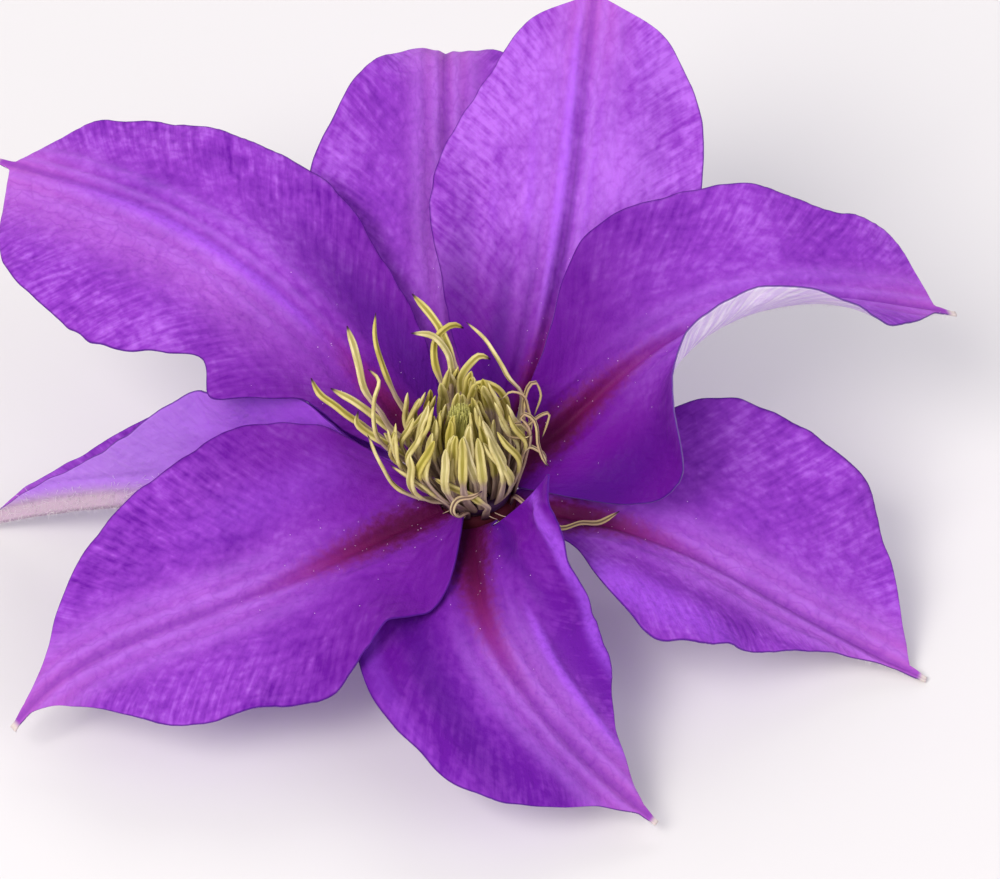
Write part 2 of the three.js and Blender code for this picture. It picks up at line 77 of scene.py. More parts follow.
# Side veins leave the midrib at a slant and bend outwards: slant at the margin, further reach in mm near the
# midrib, and the distance in mm that they bend in
VEIN_SLANT = 0.5
VEIN_REACH = 12.0
VEIN_BEND = 7.0
# Small scallops of the margin, in mm
SCALLOP_HEIGHT = 0.45
SCALLOP_DEPTH = 0.22
SCALLOP_LENGTH = 3.2
# Seeds of the uneven things: margins, relief of the first blade and step to the next, stamens
NOISE_CELLS = 64
SCALLOP_SEED = 9
MARGIN_SEED = 8
RELIEF_SEED = 100
RELIEF_SEED_STEP = 10
DISORDER_SEED = 12
STRAP_SEED = 3
WAVER_SEED = 6
WRINKLE_SEED = 5

# Each sepal along its midrib, in millimetres and degrees: rise and direction at even steps, half widths,
# rise of each half from the midrib, further curl towards the margin, and waves (height, count, start).
# The looks are: strength of the pink band, its shift to the left in mm, the red bar's share of the length,
# how much lighter the violet is, how white the back is, how strong the crinkles are, how strong the painted
# shade round the foot is.
# Creases are ridges, or furrows where negative, along the blade, with a painted highlight on the ridges and
# painted shade in the furrows: distance from the midrib at their two ends, shares of the length where they
# start and end, height and width. Lifts raise or lower the margin of a half: the half, the share of the
# length where it is highest, its spread and its height.
LOOKS = ("band_strength", "band_shift", "bar_share", "lighter", "white_back", "lively", "foot_shade")
SEPALS = {
    "sepal_upper_left": dict(
        length=89.5, foot=(7, -0.6), seat=132,
        pitch=[30, 32, 15.5, -4, -9], heading=[140, 147, 149], roll=[0],
        left=[2.9, 4.6, 6.5, 8.2, 9.6, 14.6, 19.6, 15.6, 18.8, 22, 23.2, 22.6, 21.4, 19.8, 17.4, 12.5, 0.5],
        right=[4, 6.5, 9, 11.3, 13.5, 15.2, 16.8, 18.5, 19.4, 19.5, 18.7, 17.7, 16.8, 15.4, 13.2, 9.8, 0.5],
        fold_left=[0, -10, -15, -15], fold_right=[10, 12, 6],
        curl_left=[0], curl_right=[0],
        looks=(0.62, 5, 0.36, -0.01, 0, 0.8, 1),
        creases=[(0.3, 0.8, 0.12, 0.95, 0.75, 1.2), (-5, -10, -0.3, 0.6, -0.8, 5)],
        ripple_left=(0.7, 4, 0.1), ripple_right=(0.5, 4.5, 0.4)),
    "sepal_back": dict(
        length=75.8, foot=(7, -2.4), seat=98,
        pitch=[14, 30, 32, 34, 34, 28, -5, -60], heading=[98, 93, 90], roll=[0],
        left=[4, 9, 15, 19, 22, 21.4, 17.6, 11.6, 0.5],
        right=[3, 8, 13, 17, 20, 20, 18, 12, 0.5],
        fold_left=[8, 3, 0, 2, 16, 16], fold_right=[10, 6, 3, 2, 12, 12],
        curl_left=[0], curl_right=[0],
        looks=(0.6, 0, 0.3, 0, 0, 0.7, 1.2), ripple_left=(0.6, 4, 0.3), ripple_right=(0.5, 4, 0)),
    "sepal_top": dict(
        length=78.5, foot=(7, -1.1), seat=53,
        pitch=[26, 33, 35, 35, 33], heading=[66, 76, 82, 82], roll=[0],
        left=[4, 6.5, 9, 11.5, 14, 16, 17.5, 19.4, 20.8, 21.2, 20.4, 18.8, 16.8, 14.6, 12.2, 9, 0.5],
        right=[2.5, 6.5, 10, 13, 15, 16.2, 17, 17.7, 18.4, 19, 19.2, 19, 18.2, 16.6, 14, 10, 0.5],
        fold_left=[10, 5, 0], fold_right=[10, 2, -8],
        curl_left=[0], curl_right=[0],
        looks=(0.35, 0, 0.4, 0.075, 0, 0.8, 1.3),
        creases=[(1.5, 2, 0.1, 0.98, 0.9, 1), (-0.2, -0.2, 0.1, 0.9, -0.5, 0.7),
                 (-2.2, -3, 0.1, 0.9, 0.5, 0.9), (4.5, 7.5, 0.15, 0.8, 0.5, 1.1),
                 (9, 13, 0.15, 0.7, 0.5, 1.5), (6, 7, -0.3, 0.5, -0.8, 5),
                 (-9, -13, 0.35, 1, -0.35, 5), (14, 17, 0.1, 0.7, -0.45, 4)],
        ripple_left=(0.8, 4, 0.6), ripple_right=(0.6, 4.5, 0.2)),
    "sepal_upper_right": dict(
        length=77, foot=(7, 0.6), seat=33,
        pitch=[25, 31, 9, -18, -22], heading=[36, 28, 18, 15, 14], roll=[0],
        left=[3.5, 5.5, 7.5, 9.8, 12.5, 16.8, 20, 21, 21, 20.9, 20.3, 18.8, 16.8, 15.2, 14.6, 11.6, 0.5],
        right=[4, 17.5, 21, 16.5, 14.5, 14, 12, 8, 0.5],
        fold_left=[12, 42, 36, 30, 24, 20, 20, 20, 20], fold_right=[0, -5, 0, 14, 26, 34, 30, 18, 15],
        curl_left=[0], curl_right=[0, 0, 0, 55, 62, 30, 0, 0, 0],
        looks=(0.35, 0, 0.52, -0.01, 1, 0.7, 1.2), creases=[(-8, -15, -0.4, 0.4, -0.8, 6)],
        ripple_left=(0.6, 5, 0.2), ripple_right=(0.4, 3, 0.5)),
    "sepal_lower_right": dict(
        length=66, foot=(7, -2.2), seat=-20,
        pitch=[8, -14, -27.5, -23, -20], heading=[-8, -12, -16, -18], roll=[0],
        left=[4, 11, 19.5, 25, 26, 25, 22, 12.5, 0.5],
        right=[4, 5, 15, 19.5, 17, 12, 7, 2.5, 0.5],
        fold_left=[5, 25, 25, 20], fold_right=[5, 8, 10],
        curl_left=[0], curl_right=[0],
        looks=(0.7, 0, 0.52, 0, 0, 0.7, 0.6), creases=[(-9, -16, -0.3, 0.7, 0.7, 5)],
        ripple_left=(0.9, 3.5, 0.1), ripple_right=(0.7, 4, 0.3)),
    "sepal_front": dict(
        length=55, foot=(7, -1.8), seat=-92,
        pitch=[4, -10, -25, -29, -32], heading=[-92, -77, -50, -35, -27], roll=[0],
        left=[4.6, 5.6, 22.8, 19.6, 17, 15.6, 14.8, 14.6, 14.4, 14, 13, 11, 8.5, 6, 4, 2.2, 0.5],
        right=[4, 11, 18, 19.5, 18.5, 17, 12.5, 5, 0.5],
        fold_left=[14, 36, 27, 11, 5, 5, 5, 5, 5], fold_right=[-14, -6, -4],
        curl_left=[14, 52, 34, 10, 0, 0, 0, 0, 0], curl_right=[0],
        looks=(0.6, 1, 0.6, -0.105, 0, 0.6, 0.75),
        creases=[(7, 4.5, 0.15, 0.9, 0.8, 1), (4, 9, -0.15, 0.4, -0.75, 2.2),
                 (19, 11.5, -0.15, 0.75, 0.9, 1.7), (-9, -13, -0.1, 0.85, -0.7, 4.5),
                 (-16, -17, -0.3, 0.75, 0.5, 3.5)],
        ripple_left=(0.5, 4, 0), ripple_right=(0.8, 4, 0.5)),
    "sepal_lower_left": dict(
        length=70.5, foot=(7, -0.6), seat=-145,
        pitch=[-6, -10, -6, -14, -54], heading=[-153, -157, -158, -152], roll=[0],
        left=[6.5, 13.5, 15.5, 15.8, 17, 18.8, 20.5, 20.2, 19, 18, 17, 15.5, 13.5, 10, 6, 2.4, 0.5],
        right=[3, 11, 17.5, 20.6, 22.6, 23.8, 23.6, 23.2, 22.5, 21.2, 19.5, 17.4, 14.5, 10, 5, 2.2, 0.5],
        fold_left=[8, -5, -12, -12], fold_right=[25, 34, 28, 24, 20],
        curl_left=[0], curl_right=[0],
        looks=(0.6, 0, 0.49, -0.035, 0, 0.8, 0.85), creases=[(-12, -12, -0.1, 0.65, 0.36, 6)],
        lifts=[("left", 0.2, 0.05, 2.4), ("left", 0.1, 0.04, -0.8)],
        ripple_left=(1, 4, 0.2), ripple_right=(0.8, 4.5, 0.6)),
    "sepal_left_folded": dict(
        length=75, foot=(7, -2.4), seat=165,
        pitch=[-8, -12, -14, -18, -30], heading=[170], roll=[35, 45, 45],
        left=[3.4, 8.8, 16, 17.8, 16.6, 11.6, 7, 4, 0.5],
        right=[2.5, 8, 13.5, 15.5, 15, 12, 8, 4.5, 0.5],
        fold_left=[55, 66, 62, 60, 60], fold_right=[35, 95, 100],
        curl_left=[0], curl_right=[0],
        looks=(0.4, 0, 0.4, 0, 0, 0.8, 0.6), lifts=[("left", 0.45, 0.03, 1.1), ("left", 0.38, 0.04, -1.1)],
        ripple_left=(0.6, 4, 0.3), ripple_right=(0.5, 3, 0.7)),
}

# Receptacle and stalk: radius and height down the cup, then the stalk's path, in mm from the flower's middle
RECEPTACLE_PROFILE = [(5.2, 0), (5.9, -0.6), (5.9, -2.8), (5.6, -3.8), (4.2, -4.8), (2.4, -6.4), (1.6, -9)]
RECEPTACLE_RADIUS = 5.9
RECEPTACLE_TOP = 0.0
STALK_RADIUS = 1.5
STALK_PATH = [(0, 0, -9), (0, 1.4, -12), (0, 5.8, -16.6), (0, 12.5, -19.8), (0, 20.5, -21.2), (0, 29, -21.35)]

# Stamens: flat threads, each widening into a long anther with a groove along it, in mm and degrees.
# The loose ones are listed paths, the rest rings of them: count, radius at the root, belly and top, height
STAMEN_LOOKS = ("anther", "groove", "tone", "tip", "dry")
STAMEN_ROOT_HEIGHT = 1.6
STAMEN_ROWS = 30
STAMEN_SIDES = 12
ROOT_WIDTH = 1.9
FILAMENT_WIDTH = 0.9
FILAMENT_THICKNESS = 0.42
ANTHER_LENGTH = 11.0
BUNDLE_ANTHER_LENGTH = (6.8, 9.2)
ANTHER_WIDTH = 1.5
ANTHER_THICKNESS = 0.72
HEAD_LEAN = (-2.3, 1.3)
HEAD_HEIGHT = 17
RING_SECTION = [(2.95, 0.5), (5.2, 0.5), (5.3, 1.6), (5.2, 2.2), (2.95, 2.2)]
BUNDLE = [
    dict(count=9, root=3.7, belly=4.6, top=3.5, height=15.4, start=10),
    dict(count=14, root=4.6, belly=6.6, top=4.7, height=16.2, start=0),
    dict(count=20, root=5.4, belly=8.8, top=6.2, height=16, start=20),
]
BUNDLE_SEED = 4121
# more of them inside the head's outline: over the styles, between the rings, and a fan on the left
FILLING = [
    dict(count=11, root=3, belly=3.5, top=2.3, height=15.4, start=15),
    dict(count=9, root=5, belly=7.7, top=5.4, height=15.2, start=8),
    dict(count=6, root=5.6, belly=10.2, top=9.6, height=13, start=150, sweep=90),
]
# Further disorder of the upright ones: swing in degrees, and millimetres in and out or up and down
DISORDER_SWING = 14
DISORDER_REACH = 0.9
FILLING_SEED = 902
LOOSE_STAMENS = [
    [(-1.5, 5.2), (-2.2, 8, 10.7), (-2.6, 9.5, 14.2), (-3.5, 11.2, 17.3), (-5.4, 13.5, 20.6), (-9.3, 17, 24)],
    [(-3, 4.6), (-4, 7.5, 11.2), (-6, 10, 17), (-5.9, 12, 19.4), (-3.7, 13.5, 20.8), (-1.8, 14.5, 19.4)],
    [(-3.8, 4.2), (-3.6, 8, 11), (-4, 10.5, 18), (-6.3, 11.5, 20.7), (-9.4, 11, 21.6)],
    [(-4.6, 3.4), (-11.2, 7.5, 11), (-12.4, 8.5, 13.5), (-13.8, 10, 17), (-14.6, 11.5, 20), (-14.6, 14, 23)],
    [(-5.2, 2.6), (-12.6, 4.5, 9), (-13.8, 5.5, 10.9), (-16.2, 7, 13.8),
     (-17.2, 9.5, 17.5), (-18.7, 12, 22.3)],
    [(-5.5, 1.6), (-13, 3.5, 7), (-18.4, 5.5, 10.1), (-20.4, 6.5, 11.2),
     (-22.9, 7.5, 12.9), (-24, 8.5, 15.2)],
    [(-5.3, 2.2), (-13, 5, 8.5), (-18, 7, 12), (-21.2, 8.5, 13.1)],
    [(-5.7, 1.2), (-12.5, 2.5, 7), (-17.4, 4, 10.3), (-17.2, 5, 11.8)],
    [(-5.8, 0.5), (-14.3, 1.4, 10), (-14.8, 4, 14.5), (-14.1, 6.9, 16), (-15.7, 8.4, 17)],
    [(4.5, 3.8), (6.6, 8.4, 12), (4.5, 10, 14.5), (2.9, 11.5, 16.8), (1.2, 13, 18.8), (-1.5, 14.5, 20.6)],
    [(-0.8, 5.8), (-2, 8, 10), (-2.1, 9.2, 14.5), (0.3, 11, 17.1), (2.1, 11.4, 16)],
    [(-1.3, 4.6), (-1, 6, 9), (-1, 6.7, 12.2), (0.6, 7.5, 15), (3.2, 7.5, 13.7), (5.3, 7, 9.8)],
    [(5, 3), (7, 5, 9.5), (7.1, 7.1, 12), (8.7, 8.7, 14), (9.6, 8.4, 12), (8.4, 6.2, 9)],
    [(5.8, 1), (7, 2.4, 9.5), (8.7, 3.8, 11), (10.7, 4.4, 12), (9.6, 2.5, 8.5)],
    [(5.9, -0.6), (7.8, 0.6, 9), (9.6, 0.1, 8), (10.1, -0.8, 5.8)],
    [(5.6, -2.4), (8.2, -4.7, 1.1), (11.3, -6.3, -0.3), (16.2, -5.9, -0.2),
     (19.4, -4.9, -0.2), (21, -3.9, 0)],
    [(-1.3, -5.8), (-2.6, -7.7, 2.8), (-3.4, -7.9, 4.2), (-2.4, -7.6, 6.2), (0.9, -7.4, 8)],
    [(1.5, -5.8), (1.7, -6.8, 3.9), (-0.1, -6.9, 5.7), (-3.7, -6.6, 7.8), (-6.3, -6, 9.3)],
    [(-5, -3.2), (-8, -3.8, 2.6), (-11.5, -3.5, 4.4), (-13.8, -2.5, 8.3), (-15.7, -1.1, 13)],
    [(-3.6, -4.9), (-7.9, -5, 6.2), (-10.4, -4.2, 8), (-12.4, -3.5, 9.3)],
]
# the loose stamens that have dried: thinner and browner
DRY_STAMENS = (12, 13, 14, 15, 16)
DRIED_THREADS = [
    [(5.9, -0.4), (7.2, 0.4, 6.5), (7.7, 1.2, 11.4), (6.6, 1.6, 14.2),
     (8.4, 1.2, 13.2), (9.2, -0.6, 9.8), (11, -2, 7.6)],
    [(5.4, 1.6), (7.6, 2.4, 8.4), (6.2, 2, 12.4), (4.4, 1, 11.2), (6.8, 0.2, 10.6), (8.4, 0.8, 11.6)],
    [(5.6, 2.2), (8, 4.2, 9.4), (7, 5.6, 13.6), (5, 5.6, 15.2), (3.4, 5, 13.8)],
    [(-5.9, -0.6), (-9.4, -0.6, 6.8), (-11.4, 0.4, 10.4), (-12.8, 0, 9.6)],
]
# Broken stubs and hairs round the foot of the stamens: count, first direction and sweep in degrees
STUBS = dict(count=6, start=200, sweep=140, shortest=0.6, longest=3)
STUB_SEED = 5
STUB_RADIUS = 0.08

# Styles: a core and the free downy ends that cover it
STYLE_CORE = [(1.75, 0.5), (1.9, 3), (2.2, 6.5), (2.0, 10), (1.4, 13.2), (0.5, 15)]
STYLE_COUNT = 90
STYLE_SPREAD = 1.25
STYLE_TOP = 16.3
STYLE_RADIUS = 0.15
STYLE_SEED = 77
GOLDEN_ANGLE = 2.399963

# Hairs and pollen grains: how many, length and radius in mm, and bend in radians. Pollen lies round the foot
# of a sepal's midrib, and hairs along its keel, each fading over so many mm from the midrib. The spots that
# the flower lies on stay bare of hairs up to a height in mm
POLLEN = dict(per_square_metre=90000.0, length=0.0, radius=0.06, bend=0.0)
POLLEN_REACH = 6.0
POLLEN_SEED = 11
SEPAL_DOWN = dict(per_square_metre=6000000.0, length=1.1, radius=0.03, bend=0.9)
KEEL_REACH = 2.6
SEPAL_DOWN_FLOOR = 1.6
SEPAL_DOWN_SEED = 31
STYLE_DOWN = dict(per_square_metre=16000000.0, length=0.6, radius=0.02, bend=0.9)
STYLE_DOWN_SEED = 61
STALK_DOWN = dict(per_square_metre=3500000.0, length=0.8, radius=0.03, bend=0.6)
STALK_DOWN_FLOOR = 1.3
STALK_DOWN_TOP = -4
STALK_DOWN_SEED = 51

# Soft square lights: place in metres, side in metres, power in watts, colour
LIGHTS = {
    "window_light": ((-0.6, -0.7, 1.0), 0.7, 14.5, "#fffcf4"),
    "fill_light": ((0.9, -0.5, 0.7), 0.9, 4.5, "#f8f5ff"),
    "back_light": ((0.1, 0.9, 0.8), 0.8, 3.5, "#ffffff"),
}

# Even pale light from all round, and the floor's reach in metres
ROOM_COLOUR = "#f3f3f6"
ROOM_STRENGTH = 0.55
FLOOR_REACH = 3

# Camera: looks along +Y and down at the flower's middle, far enough away for a portrait lens
CAMERA_ELEVATION = 45.0
CAMERA_DISTANCE = 600.0
PIXELS_PER_MM = 6.8
IMAGE_WIDTH = 1000
IMAGE_HEIGHT = 879
FLOWER_X_PIXEL = 476.0
FLOWER_Y_PIXEL = 492.0
SENSOR_WIDTH = 36.0

# The flower's middle in the row frame, in mm
low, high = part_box("receptacle")
CENTRE = np.array([
    (low.x + high.x) / 2 / MM,
    low.y / MM + RECEPTACLE_RADIUS,
    high.z / MM - RECEPTACLE_TOP,
])


def radians(values):
    return np.radians(np.asarray(values, float))


def along(values, share):
    """Value at a share 0..1 of the way along evenly spaced stations, on a smooth curve through them."""
    v = np.asarray(values, float)
    share = np.asarray(share, float)
    last = len(v) - 1
    if last == 0:
        return np.full_like(share, v[0])
    x = np.clip(share, 0, 1) * last
    i = np.minimum(x.astype(int), last - 1)
    t = x - i
    p1 = v[i]
    p2 = v[i + 1]
    p0 = np.where(i == 0, 2 * p1 - p2, v[np.maximum(i - 1, 0)])
    p3 = np.where(i + 2 > last, 2 * p2 - p1, v[np.minimum(i + 2, last)])
    a = p2 - p0
    b = 2 * p0 - 5 * p1 + 4 * p2 - p3
    c = 3 * p1 - p0 - 3 * p2 + p3
    return 0.5 * (2 * p1 + a * t + b * t * t + c * t ** 3)


def smooth_noise(x, y, seed):
    """Soft value noise between -1 and 1 on a unit lattice that repeats."""
    lattice = np.random.default_rng(seed).uniform(-1, 1, (NOISE_CELLS, NOISE_CELLS))
    tx = x - np.floor(x)
    ty = y - np.floor(y)
    tx = tx * tx * (3 - 2 * tx)
    ty = ty * ty * (3 - 2 * ty)
    xi = np.floor(x).astype(int) % NOISE_CELLS
    yi = np.floor(y).astype(int) % NOISE_CELLS
    after = (xi + 1) % NOISE_CELLS
    rows = (yi, (yi + 1) % NOISE_CELLS)
    near, far = (lattice[xi, row] * (1 - tx) + lattice[after, row] * tx for row in rows)
    return near * (1 - ty) + far * ty


def bell(x, width):
    return np.exp(-(x / width) ** 2)


def half_width(values, share):
    """Half width of a blade, with the drawn-out point added."""
    blade = np.maximum(along(values, np.minimum(share / (1 - POINT_SHARE), 1)), 0)
    rest = np.clip((1 - share) / (2 * POINT_SHARE), 0, 1)
    point = POINT_WIDE * np.sqrt(rest) + POINT_END
    return np.where(share > 0.6, np.maximum(blade, point), blade)


def blade_surface(q):
    """Middle surface of a sepal as a grid of points in mm, with the distance from the midrib at each."""
    rows, columns = BLADE_ROWS, BLADE_COLUMNS
    share = np.linspace(0, 1, rows + 1)
    fine = 4
    fine_share = np.linspace(0, 1, rows * fine + 1)
    pitch = radians(along(q["pitch"], fine_share))
    heading = radians(along(q["heading"], fine_share))
    level = np.cos(pitch)
    ahead = np.stack([level * np.cos(heading), level * np.sin(heading), np.sin(pitch)], 1)
    steps = (ahead[1:] + ahead[:-1]) / 2 * (q["length"] / (rows * fine))
    seat = radians(q["seat"])
    foot = np.array([q["foot"][0] * np.cos(seat), q["foot"][0] * np.sin(seat), q["foot"][1]])
    midrib = (np.vstack([[0, 0, 0], np.cumsum(steps, 0)]) + foot)[::fine]
    ahead = ahead[::fine]
    heading = heading[::fine]
    side = np.stack([-np.sin(heading), np.cos(heading), 0 * heading], 1)
    up = np.cross(ahead, side)
    roll = radians(along(q["roll"], share))[:, None]
    side, up = side * np.cos(roll) + up * np.sin(roll), up * np.cos(roll) - side * np.sin(roll)
    grid = np.zeros((rows + 1, 2 * columns + 1, 3))
    out = np.zeros((rows + 1, 2 * columns + 1))
    grid[:, columns] = midrib
    inner = 4
    for sign, half in ((1, "left"), (-1, "right")):
        width = half_width(q[half], share)
        fold = radians(along(q["fold_" + half], share))
        curl = radians(along(q["curl_" + half], share))
        height, waves, start = q["ripple_" + half]
        wave = np.sin(2 * np.pi * (waves * share + start)) * np.minimum(1, width / 8)
        place = q["length"] * share / SCALLOP_LENGTH
        row = 0 * share + sign * q["seat"] / 10
        scallop = smooth_noise(place, row, SCALLOP_SEED) * np.minimum(1, width / 8)
        width = width + SCALLOP_DEPTH * smooth_noise(place * 1.3, row, MARGIN_SEED)
        width = np.maximum(width, POINT_END)
        across = np.zeros(rows + 1)
        rise = np.zeros(rows + 1)
        raised = np.zeros(rows + 1)
        for name, centre, spread, amount in q.get("lifts", ()):
            if name == half:
                raised = raised + amount * bell(share - centre, spread)
        for j in range(1, columns + 1):
            for k in range(inner):
                angle = fold + curl * (j - 1 + (k + 0.5) / inner) / columns
                across += np.cos(angle) * width / columns / inner
                rise += np.sin(angle) * width / columns / inner
            reach = j / columns
            angle = fold + curl * reach
            lift = height * reach ** 2 * wave + SCALLOP_HEIGHT * reach ** 5 * scallop + raised * reach ** 2.5
            b = across - np.sin(angle) * lift
            n = rise + np.cos(angle) * lift
            grid[:, columns + sign * j] = midrib + sign * b[:, None] * side + n[:, None] * up
            out[:, columns + sign * j] = sign * width * reach
    radius = np.maximum(np.hypot(grid[..., 0], grid[..., 1]), 1e-6)
    pull = np.maximum(1 - share / BASE_SHARE, 0)[:, None] ** 2
    grid[..., :2] *= (1 - pull * np.maximum(1 - BASE_RADIUS / radius, 0))[..., None]
    return grid, out, share


def surface_normals(grid):
    down = np.gradient(grid, axis=0)
    over = np.gradient(grid, axis=1)
    normal = np.cross(down, over)
    return normal / np.maximum(np.linalg.norm(normal, axis=2, keepdims=True), 1e-9)


def vein_position(out, length_along):
    """Where a point's side vein leaves the midrib: lines of equal value run like the veins."""
    away = np.abs(out)
    return length_along - VEIN_SLANT * away - VEIN_REACH * (1 - np.exp(-away / VEIN_BEND))


def crease_relief(q, out, share):
    """Height of the given ridges and furrows in mm."""
    relief = 0 * out
    for start_out, end_out, start, end, height, width in q.get("creases", ()):
        travel = np.clip((share - start) / (end - start), 0, 1)
        fade = np.sin(np.pi * travel) ** 0.7
        centre = start_out + (end_out - start_out) * travel
        relief = relief + height * fade[:, None] * bell(out - centre[:, None], width)
    return relief


def blade_relief(q, out, share, seed):
    """Height of the upper face's relief in mm."""
    length_along = q["length"] * share[:, None] + 0 * out
    vein = vein_position(out, length_along)
    # the relief fades towards both ends, and the ribs draw together there
    ends = (np.clip(share / RELIEF_END, 0, 1) * np.clip((1 - share) / RELIEF_END, 0, 1))[:, None]
    narrow = 0.45 + 0.55 * ends
    ribs = sum(bell(out - offset * narrow, RIB_HALF_WIDTH) for offset in RIB_OFFSETS)
    ribs = RIB_HEIGHT * ribs - GROOVE_DEPTH * bell(out, GROOVE_HALF_WIDTH)
    warp = 1.2 * smooth_noise(length_along / 7, out / 7, seed + 1)
    first = smooth_noise(vein / CRINKLE_SPACING * 1.15 + warp, out / CRINKLE_LENGTH, seed + 2)
    second = smooth_noise(vein / CRINKLE_SPACING * 2.1 + warp, out / CRINKLE_LENGTH * 1.8, seed + 3)
    crinkle = (1 - 2 * np.abs(first)) + 0.35 * second
    spread = np.clip((np.abs(out) - 3.5) / 7, 0, 1)
    buckle = smooth_noise(vein / BUCKLE_SIZE, out / BUCKLE_SIZE, seed + 4)
    pleat = smooth_noise(out / PLEAT_SPACING, length_along / PLEAT_LENGTH + 0.5, seed + 5)
    relief = ribs + CRINKLE_HEIGHT * q["looks"][5] * crinkle * spread
    relief = relief + BUCKLE_HEIGHT * buckle * spread + PLEAT_HEIGHT * pleat
    return relief * ends + crease_relief(q, out, share)


def keep_object(name, mesh, material, nodes=()):
    """A finished piece at the origin that rides on the flower's one body."""
    mesh.materials.clear()
    mesh.materials.append(material)
    piece = bpy.data.objects.new(name, mesh)
    bpy.context.scene.collection.objects.link(piece)
    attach(piece, "root")
    if nodes:
        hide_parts(*nodes)
    return piece


def mesh_from(name, points_mm, faces, attributes):
    """A smooth mesh in the row frame from points in mm round the flower's middle."""
    mesh = bpy.data.meshes.new(name)
    points = (np.asarray(points_mm, float) + CENTRE) * MM
    mesh.from_pydata(points.tolist(), [], [list(map(int, f)) for f in faces])
    for key, values in attributes.items():
        values = np.asarray(values, np.float32)
        kind = "FLOAT" if values.ndim == 1 else "FLOAT_VECTOR"
        layer = mesh.attributes.new(key, kind, "POINT")
        layer.data.foreach_set("value" if kind == "FLOAT" else "vector", values.ravel())
    mesh.polygons.foreach_set("use_smooth", [True] * len(mesh.polygons))
    mesh.update()
    return mesh


def blade_mesh(name, q, seed):
    grid, out, share = blade_surface(q)
    rows, columns = grid.shape[:2]
    reach = np.abs(np.linspace(-1, 1, columns))[None, :] + 0 * out
    relief = blade_relief(q, out, share, seed)
    normal = surface_normals(grid)
    thick = BLADE_THICK_MARGIN + (BLADE_THICK_MIDRIB - BLADE_THICK_MARGIN) * (1 - reach ** 3)
    middle = grid + normal * (relief * (1 - 0.5 * reach ** 4))[..., None]
    upper = middle + normal * (thick / 2)[..., None]
    lower = middle - normal * (thick / 2)[..., None]
    index = np.arange(rows * columns).reshape(rows, columns)
    a = index[:-1, :-1].ravel()
    b = index[1:, :-1].ravel()
    c = index[1:, 1:].ravel()
    d = index[:-1, 1:].ravel()
    count = rows * columns
    top = np.stack([a, b, c, d], 1)
    bottom = np.stack([a, d, c, b], 1) + count
    rim = np.concatenate([index[:-1, 0], index[-1, :-1], index[:0:-1, -1], index[0, :0:-1]])
    after = np.roll(rim, -1)
    edge = np.stack([rim, rim + count, after + count, after], 1)
    length_along = q["length"] * share[:, None] + 0 * out
    vein = vein_position(out, length_along)
    attributes = {
        "blade": np.tile(np.stack([vein, out, length_along], -1).reshape(-1, 3), (2, 1)),
        "share": np.tile((share[:, None] + 0 * out).ravel(), 2),
        "reach": np.tile(reach.ravel(), 2),
        "upper": np.concatenate([np.ones(count), np.zeros(count)]),
        "crease": np.tile(crease_relief(q, out, share).ravel(), 2),
    }
    for key, value in zip(LOOKS, q["looks"]):
        attributes[key] = np.full(2 * count, value)
    points = np.concatenate([upper.reshape(-1, 3), lower.reshape(-1, 3)])
    return mesh_from(name, points, np.concatenate([top, bottom, edge]), attributes)


class Draws:
    """The same seeded draws as in the solids."""

    def __init__(self, seed):
        self.state = seed

    def between(self, lowest, highest):
        self.state = self.state * 16807 % 2147483647
        return lowest + (highest - lowest) * self.state / 2147483647


def lean(radius, turn, height):
    """Point of the head at a radius, a turn about the axis and a height, with the head's lean."""
    share = 1 - (1 - height / HEAD_HEIGHT) ** 2
    x = radius * math.cos(turn) + HEAD_LEAN[0] * share
    y = radius * math.sin(turn) + HEAD_LEAN[1] * share
    return x, y, height


def ring_paths(rings, seed):
    draws = Draws(seed)
    paths = []
    for ring in rings:
        for k in range(ring["count"]):
            step = ring.get("sweep", 360) / ring["count"]
            turn = math.radians(ring["start"] + step * (k + draws.between(-0.25, 0.25)))
            belly = ring["belly"] + draws.between(-0.4, 0.5)
            top = ring["top"] + draws.between(-0.5, 0.9)
            height = ring["height"] + draws.between(-1.6, 1.8)
            swing = math.radians(draws.between(-14, 14))
            paths.append([
                lean(ring["root"], turn, STAMEN_ROOT_HEIGHT),
                lean(0.45 * ring["root"] + 0.55 * belly, turn, 0.3 * height),
                lean(belly, turn + 0.4 * swing, 0.62 * height),
                lean(0.3 * belly + 0.7 * top, turn + 0.8 * swing, 0.86 * height),
                lean(top, turn + swing, height),
            ])
    return paths


def stamen_paths():
    """All stamens as (path, is loose, is dry). Their feet run down to the receptacle."""
    rng = np.random.default_rng(DISORDER_SEED)
    paths = []
    for path in ring_paths(BUNDLE, BUNDLE_SEED) + ring_paths(FILLING, FILLING_SEED):
        swing, out, up = rng.uniform(-1, 1, 3)
        strayed = [path[0]]
        for amount, (x, y, z) in zip((0.1, 0.3, 0.7, 1.0), path[1:]):
            turn = math.radians(DISORDER_SWING * swing * amount)
            size = 1 + DISORDER_REACH * out * amount / max(math.hypot(x, y), 3)
            strayed.append((size * (x * math.cos(turn) - y * math.sin(turn)),
                            size * (x * math.sin(turn) + y * math.cos(turn)),
                            z + DISORDER_REACH * up * amount))
        paths.append((strayed, False, False))
    loose = [[(*path[0], STAMEN_ROOT_HEIGHT), *path[1:]] for path in LOOSE_STAMENS + DRIED_THREADS]
    paths += [(path, True, k in DRY_STAMENS or k >= len(LOOSE_STAMENS)) for k, path in enumerate(loose)]
    feet = [(0.93 * path[0][0], 0.93 * path[0][1], 0.0) for path, _, _ in paths]
    return [([foot, *path], loose, dry) for foot, (path, loose, dry) in zip(feet, paths)]


